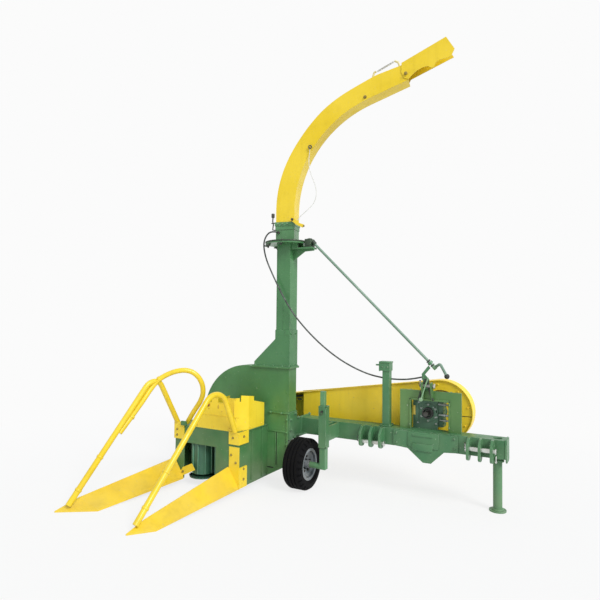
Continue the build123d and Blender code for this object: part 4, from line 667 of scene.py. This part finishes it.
# Rotor casing: front and back sheets welded to a rolled band, green, with two pressed grooves down the
# front, each drawn as two raised ridges with a thin black strip of painted shade between them, a bolted rim
# and a bearing tube with six ribs behind. A fold runs down its left side.
case_green = enamel("casing_enamel", srgb(66, 120, 66), srgb(84, 138, 82), srgb(160, 184, 150), shift=30.0,
                    gloss=0.33, ease=0.002)
give(case_green, "casing_front", "casing_back", "casing_band", "casing_skid", "bearing_tube")
CASE_FRONT = (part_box("casing_front")[1].x - HITCH.x) * 1000
CASE_BACK = CASE_FRONT - 115
ROTOR_Y, ROTOR_Z = -1385, 470
folds = bmesh.new()
for groove_y in (-1193, -1099):
    for low_y, high_y in ((groove_y - 11, groove_y - 5), (groove_y + 5, groove_y + 11)):
        slab(folds, at(CASE_FRONT, low_y, 118), at(CASE_FRONT + 4, high_y, 398), 0.0018)
slab(folds, at(CASE_FRONT, -1172, 396), at(CASE_FRONT + 7, -992, 406), 0.003)
slab(folds, at(CASE_FRONT, -1172, 541), at(CASE_FRONT + 9, -980, 552), 0.003)
slab(folds, at(CASE_FRONT, -1010, 135), at(CASE_FRONT + 5, -994, 540), 0.0025)
new_piece("casing_folds", folds, "frame", case_green)
# Thin black strips in the grooves and along the foot of the front: painted shade.
grooves = bmesh.new()
slab(grooves, at(CASE_FRONT - 1, -1196, 108), at(CASE_FRONT + 1, -1124, 117), 0.001)
for low_y in (-1196, -1102):
    slab(grooves, at(CASE_FRONT - 1, low_y, 140), at(CASE_FRONT + 0.6, low_y + 6, 392), 0.0005)
new_piece("casing_groove_shade", grooves, "frame", hole_shade_black)
case_seats = [(at(CASE_FRONT + 5, -1002, z), X_WAY) for z in (498, 398, 307, 220, 150)]
case_seats += [(at(CASE_FRONT + 9, y, 546), X_WAY) for y in (-1150, -1050)]
bolts("casing_front_bolts", "frame", case_seats, 0.016, case_green)
rim_middle = at(CASE_BACK, ROTOR_Y, ROTOR_Z)
rim_seats = [(round_axle(rim_middle, 0.414, radians(96 + 15 * n)), -X_WAY) for n in range(11)]
above_skid = [(spot, way) for spot, way in rim_seats if spot.z > 0.2]
bolts("casing_rim_bolts", "frame", above_skid, 0.014, case_green)
bearing_middle = at(CASE_BACK - 12, ROTOR_Y, ROTOR_Z)
bearing_seats = [(round_axle(bearing_middle, 0.092, a), -X_WAY) for a in SIXTHS]
bolts("bearing_flange_bolts", "frame", bearing_seats, 0.022, zinc)
rib_middle = at(CASE_BACK - 42, ROTOR_Y, ROTOR_Z)
bearing_ribs = bmesh.new()
for a in SIXTHS:
    rib_way = a + pi / 6
    block(bearing_ribs, (0.060, 0.034, 0.008), round_axle(rib_middle, 0.083, rib_way), rib_way, "X",
          eased=0.0015)
new_piece("bearing_ribs", bearing_ribs, "frame", case_green)

# Chute: a square sheet tower on a flared foot, green, bolted flange to flange. A welded seam runs up its
# front and round the joint, and a lap plate covers the front of it.
tower_green = enamel("tower_enamel", srgb(64, 118, 72), srgb(80, 134, 84), srgb(160, 184, 150), shift=33.0,
                     gloss=0.30, ease=0.0016)
give(tower_green, "chute_tower", "chute_transition", "ring_seat")
foot_low, foot_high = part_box("chute_transition")
tower_low, tower_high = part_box("chute_tower")
FOOT_FLANGE_TOP = foot_low.z + 0.008
foot_seats = [(Vector((x, at(0, y, 0).y, FOOT_FLANGE_TOP)), UP)
              for y in (-1300, -1216, -1132, -1048, -988) for x in (foot_high.x - 0.009, foot_low.x + 0.009)]
foot_seats += [(Vector((at(x, 0, 0).x, foot_high.y - 0.008, FOOT_FLANGE_TOP)), UP) for x in (160, 192, 224)]
bolts("chute_flange_bolts", "frame", foot_seats, 0.013, tower_green)
JOINT_Z = 1.193
near_x, far_x = tower_high.x + 0.002, tower_low.x - 0.002
right_y, left_y = tower_low.y - 0.003, tower_high.y + 0.003
round_tower = ((near_x, right_y), (near_x, left_y), (far_x, left_y), (far_x, right_y), (near_x, right_y))
seams = bmesh.new()
bent_bar(seams, [Vector((tower_high.x, at(0, -1049, 0).y, z)) for z in (1.20, 1.40)], 0.0022, 8)
bent_bar(seams, [Vector((tower_high.x, tower_low.y + 0.006, z)) for z in (1.20, 1.86)], 0.0018, 8)
bent_bar(seams, [Vector((x, y, JOINT_Z)) for x, y in round_tower], 0.0030, 8)
new_piece("chute_seams", seams, "frame", tower_green, sharp=60)
lap_plate = bmesh.new()
slab(lap_plate, Vector((tower_high.x, at(0, -1034, 0).y, 1.150)),
     Vector((tower_high.x + 0.006, at(0, -994, 0).y, 1.196)))
new_piece("chute_lap_plate", lap_plate, "frame", tower_green)
LAP_BOLT_Z = 1.165
lap_seats = [(Vector((tower_low.x - 0.005, y, LAP_BOLT_Z)), -X_WAY)
             for y in (tower_low.y + 0.02, tower_high.y - 0.02)]
lap_seats += [(Vector((x, tower_high.y + 0.005, LAP_BOLT_Z)), Y_WAY)
              for x in (tower_low.x + 0.02, tower_high.x - 0.02)]
bolts("chute_lap_bolts", "frame", lap_seats, 0.012, tower_green)


# Turntable: a dark toothed ring that turns with the spout on a fixed seat, with seven clamps bolted under the
# seat. The worm box that drives the ring has a round cap in front and a hexagon plug on top.
def round_upright(centre, radius, a):
    """A place round an upright axis, at an angle from straight ahead."""
    return centre + (X_WAY * cos(a) + Y_WAY * sin(a)) * radius


def block_ring(shape, count, radius, size, centre, start=0.0, eased=0.0):
    """Like blocks spaced evenly round an upright axis, each facing out from it."""
    for n in range(count):
        a = start + 2 * pi * n / count
        block(shape, size, round_upright(centre, radius, a), a, eased=eased)


ring_dark = enamel("ring_enamel", srgb(34, 56, 36), srgb(50, 74, 50), srgb(140, 150, 130), shift=36.0,
                   gloss=0.42, wear_and_edge_highlight=1.0)
collar_green = enamel("collar_enamel", srgb(78, 130, 82), srgb(98, 146, 100), srgb(178, 196, 168), shift=37.0,
                      gloss=0.30)
give(ring_dark, "turn_ring", "worm_box")
give(collar_green, "spout_collar")
ring_middle = TURN + UP * ((ring_low.z + ring_high.z) / 2)
teeth = bmesh.new()
block_ring(teeth, 90, 0.1722, (0.008, 0.0055, 0.009), ring_middle)
new_piece("turntable_teeth", teeth, "spout", ring_dark)
CLAMP_RADIUS, CLAMP_BOLT_RADIUS, RING_BOLT_RADIUS = 0.170, 0.160, 0.128
clamp_middle = TURN + UP * (ring_low.z - 0.0158)
clamp_foot = TURN + UP * (ring_low.z - 0.0210)
clamps = bmesh.new()
clamp_seats = []
for bearing in (118, 158, 200, 242, 286, 328, 12):    # degrees from straight ahead
    a = radians(bearing)
    block(clamps, (0.030, 0.036, 0.010), round_upright(clamp_middle, CLAMP_RADIUS, a), a, eased=0.0015)
    clamp_seats.append((round_upright(clamp_foot, CLAMP_BOLT_RADIUS, a), -UP))
new_piece("turntable_clamps", clamps, "frame", ring_dark)
bolts("turntable_clamp_bolts", "frame", clamp_seats, 0.014, dull_steel)
ring_seats = [(round_upright(TURN + UP * ring_high.z, RING_BOLT_RADIUS, radians(bearing)), UP)
              for bearing in (12, 52, 92, 132, 192, 232, 272, 312)]
bolts("turn_ring_bolts", "spout", ring_seats, 0.016, dull_steel)
worm_low, worm_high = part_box("worm_box")
worm_middle = (worm_low + worm_high) / 2
caps = bmesh.new()
disc(caps, (worm_high.x - 0.001, worm_middle.y - 0.004, worm_middle.z), X_WAY, 0.021, 0.010, sides=32,
     eased=0.002)
disc(caps, (worm_middle.x, worm_low.y + 0.024, TURN.z + 1.905), UP, 0.020, 0.007, sides=6, eased=0.001,
     segments=1)
new_piece("worm_box_caps", caps, "frame", ring_dark)

# Latch and studs: a bent rod with a round grip on the collar's back edge, and on the collar's front side the
# studs for the pull cord's lever and the control cable, in dull steel. The collar's bolts are painted over.
LATCH_SIDE = 40
latch = bmesh.new()
latch_way = ((-86, 1986), (-112, 1992), (-106, 2034), (-112, 2058), (-110, 2098))    # reach, height
bent_bar(latch, [on_spout(reach, height, LATCH_SIDE) for reach, height in latch_way], 0.0052)
disc(latch, on_spout(-110, 2088, LATCH_SIDE), UP, 0.013, 0.034, sides=20, eased=0.005, segments=3)
block(latch, (0.012, 0.034, 0.008), on_spout(-106, 2044, LATCH_SIDE), eased=0.0015)
new_piece("collar_latch", latch, "spout", dull_steel)
lever_studs = bmesh.new()
disc(lever_studs, on_spout(-48, 1962, 78), SIDE_WAY, 0.012, 0.006, sides=6)
bent_bar(lever_studs, [on_spout(66, 2060, 84), on_spout(66, 2060, 96)], 0.010, 12)
bent_bar(lever_studs, [on_spout(160, 2006, 80), on_spout(163, 2004, 92)], 0.006, 12)
new_piece("lever_studs", lever_studs, "spout", dull_steel)
COLLAR_BOLT_Z, COLLAR_SIDE = 2031, 70.5
collar_seats = [(on_spout(reach, COLLAR_BOLT_Z, COLLAR_SIDE), SIDE_WAY) for reach in (-58, -20, 20)]
collar_seats += [(on_spout(reach, COLLAR_BOLT_Z, -COLLAR_SIDE), -SIDE_WAY) for reach in (-58, 0, 58)]
collar_seats += [(on_spout(-84, COLLAR_BOLT_Z, side), -REACH_WAY) for side in (-40, 10)]
bolts("collar_bolts", "spout", collar_seats, 0.013, collar_green)

# Spout: folded yellow sheet, with a bolt in each side and the pull cord's eyelet. Its deflector hangs from a
# nut at each side, and a coil spring is stretched between two bent lugs on the spout's back.
spout_yellow = enamel("spout_enamel", srgb(228, 196, 24), srgb(236, 206, 50), srgb(206, 190, 130), shift=40.0,
                      wear_and_edge_highlight=0.5, grime=0.0, gloss=0.32, rust=0.2, ease=0.0015)
pale_steel = bare_metal("pale_steel", srgb(158, 140, 74), srgb(112, 96, 48), 0.5, metallic=0.4)
give(spout_yellow, "spout", "deflector")
SHEET_SIDE, HINGE_SIDE = 62.5, 75.5
spout_seats = [(on_spout(630, 2975, side * SHEET_SIDE), SIDE_WAY * side) for side in (1, -1)]
bolts("spout_bolts", "spout", spout_seats, 0.020, pale_steel)
hinge_seats = [(on_spout(936, 3113, side * HINGE_SIDE), SIDE_WAY * side) for side in (1, -1)]
bolts("deflector_hinge_nuts", "spout", hinge_seats, 0.020, pale_steel)
eyelet = bmesh.new()
bent_bar(eyelet, round_way(on_spout(203, 2624, 78), REACH_WAY, UP, 0.013, steps=24), 0.0032)
disc(eyelet, on_spout(203, 2624, SHEET_SIDE), SIDE_WAY, 0.011, 0.008, sides=6)
new_piece("cord_eyelet", eyelet, "spout", dull_steel)
cream = enamel("lug_enamel", srgb(226, 214, 150), srgb(236, 226, 176), srgb(180, 170, 140), shift=44.0)
back_lug = ((676, 3112), (682, 3160), (690, 3184), (704, 3190))    # reach, height
front_lug = ((878, 3172), (884, 3206), (872, 3240), (846, 3254))
lugs = bmesh.new()
for lug in (back_lug, front_lug):
    bent_bar(lugs, [on_spout(reach, height, 0) for reach, height in lug], 0.008)
new_piece("spring_lugs", lugs, "spout", cream)
COILS, STEPS, COIL_RADIUS = 26, 8, 0.0062
HOOK_SHARE = 0.06
start, end = on_spout(706, 3186, 0), on_spout(846, 3252, 0)
spring_side = (end - start).normalized().cross(SIDE_WAY)
spring_way = [start]
for n in range(COILS * STEPS + 1):
    a = 2 * pi * n / STEPS
    along = HOOK_SHARE + (1 - 2 * HOOK_SHARE) * n / (COILS * STEPS)
    out = (SIDE_WAY * cos(a) + spring_side * sin(a)) * COIL_RADIUS
    spring_way.append(start + (end - start) * along + out)
spring = bmesh.new()
bent_bar(spring, spring_way + [end], 0.0016, 6)
new_piece("deflector_spring", spring, "spout", zinc)

# Feeder header: a welded sheet box in green, with ribs on its sides and a folded yellow cover over the drum
# gears. The cover's dents are small raised patches in a darker yellow, painted shade, and it carries a red
# reflector, and pale bolts hold the yellow corner brackets.
header_green = enamel("header_enamel", srgb(60, 110, 62), srgb(78, 128, 78), srgb(160, 184, 150), shift=50.0,
                      grime=0.25, ease=0.002)
header_yellow = enamel("header_yellow", srgb(240, 206, 34), srgb(246, 218, 58), srgb(214, 196, 130),
                       shift=53.0, wear_and_edge_highlight=0.7, grime=0.12, ease=0.0016)
give(header_green, "feeder_box", "drum_gearcase")
give(header_yellow, "header_cover", "corner_bracket_left", "corner_bracket_right")
FLAP_FACE = 639
COVER_FRONT = 640
cover_folds = bmesh.new()
bent_bar(cover_folds, [at(COVER_FRONT, y, 556) for y in (-1540, -1180)], 0.0030, 8)
bent_bar(cover_folds, [at(COVER_FRONT + 1, -1226, z) for z in (456, 640)], 0.0022, 8)
for low_y, high_y, z in ((-1430, -1379, 688), (-1281, -1205, 692), (-1511, -1436, 650), (-1373, -1287, 650)):
    bent_bar(cover_folds, [at(FLAP_FACE, low_y, z), at(FLAP_FACE, high_y, z)], 0.0030, 8)
new_piece("cover_folds", cover_folds, "frame", header_yellow)
# The dents are shallow bumps painted a darker yellow: painted shade in place of hollows.
dent_shade = enamel("dent_shade_enamel", srgb(196, 158, 30), srgb(216, 180, 44), srgb(150, 130, 90), shift=54.0)
dents = bmesh.new()
dent_sizes = ((-1372, 622, 16, 34), (-1338, 590, 12, 12), (-1461, 600, 10, 10), (-1150, 470, 20, 8))
for y, z, wide, tall in dent_sizes:
    dent = bmesh.ops.create_uvsphere(dents, u_segments=20, v_segments=12, radius=1)["verts"]
    bmesh.ops.scale(dents, vec=(0.0025, wide / 2000, tall / 2000), verts=dent)
    bmesh.ops.translate(dents, verts=dent, vec=at(639.4, y, z))
new_piece("cover_dent_shade", dents, "frame", dent_shade)
cover_seats = [(at(COVER_FRONT, y, 470), X_WAY) for y in (-1560, -1420, -1270)]
cover_seats += [(at(x, -1180, 470), Y_WAY) for x in (340, 500)]
bolts("cover_bolts", "frame", cover_seats, 0.010, header_yellow)
bracket_seats = [(at(648, y, z), X_WAY) for y, z in ((-1228, 409), (-1762, 415), (-1762, 372))]
bracket_seats += [(at(645, y, z), X_WAY) for y, z in ((-1244, 283), (-1202, 231), (-1216, 60), (-1700, 96))]
bracket_seats += [(at(590, -1172, z), Y_WAY) for z in (415, 180, 105)]
bracket_seats += [(at(580, -1793, z), -Y_WAY) for z in (415, 370)]
bolts("bracket_bolts", "frame", bracket_seats, 0.014, pale_steel)
hoop_clamp = bmesh.new()
slab(hoop_clamp, at(648, -1716, 452), at(664, -1664, 486), 0.004)
slab(hoop_clamp, at(648, -1650, 440), at(660, -1622, 458), 0.003)
new_piece("hoop_clamp", hoop_clamp, "frame", header_green)
reflector_red = enamel("reflector_red", srgb(120, 40, 34), srgb(140, 56, 44), srgb(90, 60, 50), shift=55.0,
                       gloss=0.2)
reflector = bmesh.new()
disc(reflector, at(COVER_FRONT, -1464, 628), X_WAY, 0.012, 0.006, sides=28, eased=0.002)
new_piece("cover_lamp", reflector, "frame", reflector_red)
side_ribs = bmesh.new()
for x in (330, 470):
    slab(side_ribs, at(x, -1180, 60), at(x + 10, -1174, 440))
    slab(side_ribs, at(x, -1791, 60), at(x + 10, -1785, 440))
slab(side_ribs, at(256, -1180, 440), at(520, -1173, 450))
slab(side_ribs, at(256, -1792, 440), at(640, -1785, 450))
new_piece("box_side_ribs", side_ribs, "frame", header_green)

# Feed drums: two upright drums in a dark green, each with ten welded ribs in a paler green that is a painted
# highlight, and a toothed steel disc at its foot.
drum_green = enamel("drum_enamel", srgb(44, 92, 72), srgb(60, 110, 86), srgb(150, 172, 154), shift=57.0,
                    wear_and_edge_highlight=0.6, grime=0.05)
# A paler copy of the drum's green: painted highlight along the ribs.
rib_green_highlit = enamel("drum_rib_highlight_enamel", srgb(84, 140, 112), srgb(106, 158, 130), srgb(196, 208, 196),
                   shift=58.0, wear_and_edge_highlight=0.7, grime=0.1)
RIB_MIDDLE_Z, DISC_Z = 0.200, 0.0665
for drum in ("feed_drum_left", "feed_drum_right"):
    give(drum_green, drum)
    low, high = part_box(drum)
    axis = (low + high) / 2
    rib_middle = Vector((axis.x, axis.y, RIB_MIDDLE_Z))
    ribs = bmesh.new()
    block_ring(ribs, 10, 0.086, (0.014, 0.006, 0.222), rib_middle, start=0.2, eased=0.0012)
    new_piece(drum + "_ribs", ribs, drum, rib_green_highlit)
    disc_teeth = bmesh.new()
    block_ring(disc_teeth, 24, 0.101, (0.014, 0.010, 0.005), Vector((axis.x, axis.y, DISC_Z)))
    new_piece(drum + "_teeth", disc_teeth, drum, dull_steel)

# Crop dividers, arches and hoop: folded sheet wedges and bent tubes, all yellow. Two short sleeves clasp each
# arch near its tip, and two more the hoop.
tube_yellow = enamel("tube_enamel", srgb(230, 198, 28), srgb(238, 208, 52), srgb(214, 200, 140), shift=60.0,
                     wear_and_edge_highlight=0.5, grime=0.08, gloss=0.30)
wedge_yellow = enamel("wedge_enamel", srgb(232, 194, 30), srgb(236, 204, 54), srgb(206, 186, 124), shift=62.0,
                      wear_and_edge_highlight=0.8, grime=0.14, gloss=0.34, ease=0.0016)
give(tube_yellow, "arch_left", "arch_right", "guide_hoop")
give(wedge_yellow, "divider_left", "divider_right")
arch_clips = bmesh.new()
for tip, knee in ((at(1490, -1322, 44), at(800, -1245, 844)), (at(1465, -1960, 40), at(905, -1751, 880))):
    rise = (knee - tip).normalized()
    for along in (0.10, 0.34):
        disc(arch_clips, tip + rise * along, rise, 0.0235, 0.016, sides=28, eased=0.0015)
new_piece("arch_clips", arch_clips, "frame", tube_yellow)
sleeves = bmesh.new()
for spot, way in ((at(880, -1750, 820), (-40, 40, 36)), (at(1060, -1821, 576), (90, 24, -107))):
    disc(sleeves, spot, Vector(way).normalized(), 0.0225, 0.018, sides=28, eased=0.0015)
new_piece("hoop_sleeves", sleeves, "frame", tube_yellow)

# Gauge wheel: a ribbed black tyre on a pressed grey rim with five nuts, on a square green leg. The leg
# slides in its sleeve on the beam, which has a band at each end and a lock pin with a ring.
wheel_grey = enamel("rim_enamel", srgb(104, 112, 120), srgb(128, 134, 140), srgb(150, 140, 120), shift=70.0,
                    grime=0.3)
leg_green = enamel("leg_enamel", srgb(78, 132, 88), srgb(98, 150, 104), srgb(190, 204, 182), shift=72.0)
tyre_black, tree, shader, place = start_material("tyre_rubber")
dust = speckle(tree, place, 9, 0.38, 0.66, detail=8.0, top=0.4)
tree.links.new(tint(tree, dust, srgb(3, 3, 5), srgb(14, 14, 15)), shader.inputs["Base Color"])
grain = add_node(tree, "TexNoise", {"Vector": place, "Scale": 240.0, "Detail": 3.0}).outputs["Fac"]
relief = add_node(tree, "Bump", {"Strength": 0.3, "Distance": 0.0008, "Height": grain})
tree.links.new(relief.outputs[0], shader.inputs["Normal"])
shader.inputs["Roughness"].default_value = 0.9
shader.inputs["Specular IOR Level"].default_value = 0.2
give(wheel_grey, "wheel_rim")
give(leg_green, "wheel_leg")
tyre_low, tyre_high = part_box("wheel_tyre")
axle = (tyre_low + tyre_high) / 2
TYRE_R = (tyre_high.z - tyre_low.z) / 2
HALF_WIDTH = (tyre_high.y - tyre_low.y) / 2
BEAD_R, BEAD_SIDE = 0.118, 0.0600
GROOVE_R = TYRE_R - 0.007


def spun(shape, section, steps):
    """A closed outline of radius and side, spun about the wheel's axle."""
    verts = [shape.verts.new((radius, side, 0)) for radius, side in section]
    edges = [shape.edges.new(ends) for ends in zip(verts, verts[1:] + verts[:1])]
    bmesh.ops.spin(shape, geom=verts + edges, cent=(0, 0, 0), axis=(0, 1, 0), angle=2 * pi, steps=steps,
                   use_merge=True, dvec=(0, 0, 0))
    bmesh.ops.remove_doubles(shape, verts=shape.verts, dist=0.00001)


wall = [(BEAD_R - 0.004, BEAD_SIDE), (BEAD_R + 0.016, HALF_WIDTH - 0.006), (TYRE_R - 0.052, HALF_WIDTH),
        (TYRE_R - 0.026, HALF_WIDTH - 0.002), (TYRE_R - 0.010, HALF_WIDTH - 0.009),
        (TYRE_R - 0.001, HALF_WIDTH - 0.024)]
tread = [(TYRE_R, HALF_WIDTH - 0.028), (TYRE_R, 0.034), (GROOVE_R, 0.032), (GROOVE_R, 0.026),
         (TYRE_R, 0.024), (TYRE_R, 0.006), (GROOVE_R, 0.004)]
half = wall + tread
inside = [(BEAD_R - 0.012, -0.0590), (BEAD_R - 0.012, 0.0590)]
tyre = bmesh.new()
spun(tyre, half + [(radius, -side) for radius, side in reversed(half)] + inside, 72)
lug_faces = []
for face in tyre.faces:
    middle = face.calc_center_median()
    on_shoulder = TYRE_R - 0.020 < (middle.x ** 2 + middle.z ** 2) ** 0.5 < TYRE_R
    if on_shoulder and abs(middle.y) > HALF_WIDTH - 0.022:
        if int(36 * (1 + atan2(middle.z, middle.x) / pi)) % 3 == 0:
            lug_faces.append(face)
bmesh.ops.inset_individual(tyre, faces=lug_faces, thickness=0.0006, depth=-0.005)
bmesh.ops.translate(tyre, verts=tyre.verts, vec=axle)
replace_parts(new_piece("tyre", tyre, "wheel", tyre_black, sharp=28), "wheel_tyre")
dish_section = [(0.0972, 0.044), (0.0900, 0.048), (0.0700, 0.030), (0.0400, 0.026), (0.0400, 0.022),
                (0.0700, 0.026), (0.0890, 0.044), (0.0972, 0.040)]
rim_dish = bmesh.new()
spun(rim_dish, dish_section, 48)
bmesh.ops.translate(rim_dish, verts=rim_dish.verts, vec=axle)
new_piece("rim_dish", rim_dish, "wheel", wheel_grey)
NUT_CIRCLE, NUT_SIDE = 0.058, 0.0285
nuts = bmesh.new()
disc(nuts, (axle.x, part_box("wheel_rim")[1].y - 0.004, axle.z), Y_WAY, 0.027, 0.012, top=0.020, sides=32,
     eased=0.002)
for n in range(5):
    a = 2 * pi * n / 5 + 0.4
    spot = axle + Vector((NUT_CIRCLE * cos(a), NUT_SIDE, NUT_CIRCLE * sin(a)))
    disc(nuts, spot, Y_WAY, 0.012, 0.003, sides=16)
    disc(nuts, spot + Y_WAY * 0.003, Y_WAY, 0.0095, 0.012, sides=6, eased=0.001, segments=1)
new_piece("wheel_nuts", nuts, "wheel", dull_steel)
valve = bmesh.new()
bent_bar(valve, [axle + Vector((0.084, 0.036, 0)), axle + Vector((0.088, 0.060, 0))], 0.0035)
new_piece("tyre_valve", valve, "wheel", tyre_black)
lock = bmesh.new()
bent_bar(lock, [at(300, -675, 600), at(312, -675, 600)], 0.008, 12)
bent_bar(lock, round_way(at(318, -675, 590), Y_WAY, UP, 0.012), 0.0025, 8)
new_piece("sleeve_lock_pin", lock, "frame", dull_steel)
bands = bmesh.new()
for z in (331, 627):
    for low_x, low_y, high_y in ((239, -706, -699), (239, -651, -644), (294, -706, -644)):
        slab(bands, at(low_x, low_y, z), at(301, high_y, z + 12))
new_piece("sleeve_bands", bands, "frame", beam_green)
leg_cap = bmesh.new()
slab(leg_cap, at(252, -700, 744), at(288, -664, 746), 0.0008)
new_piece("leg_cap", leg_cap, "wheel_leg", leg_green)
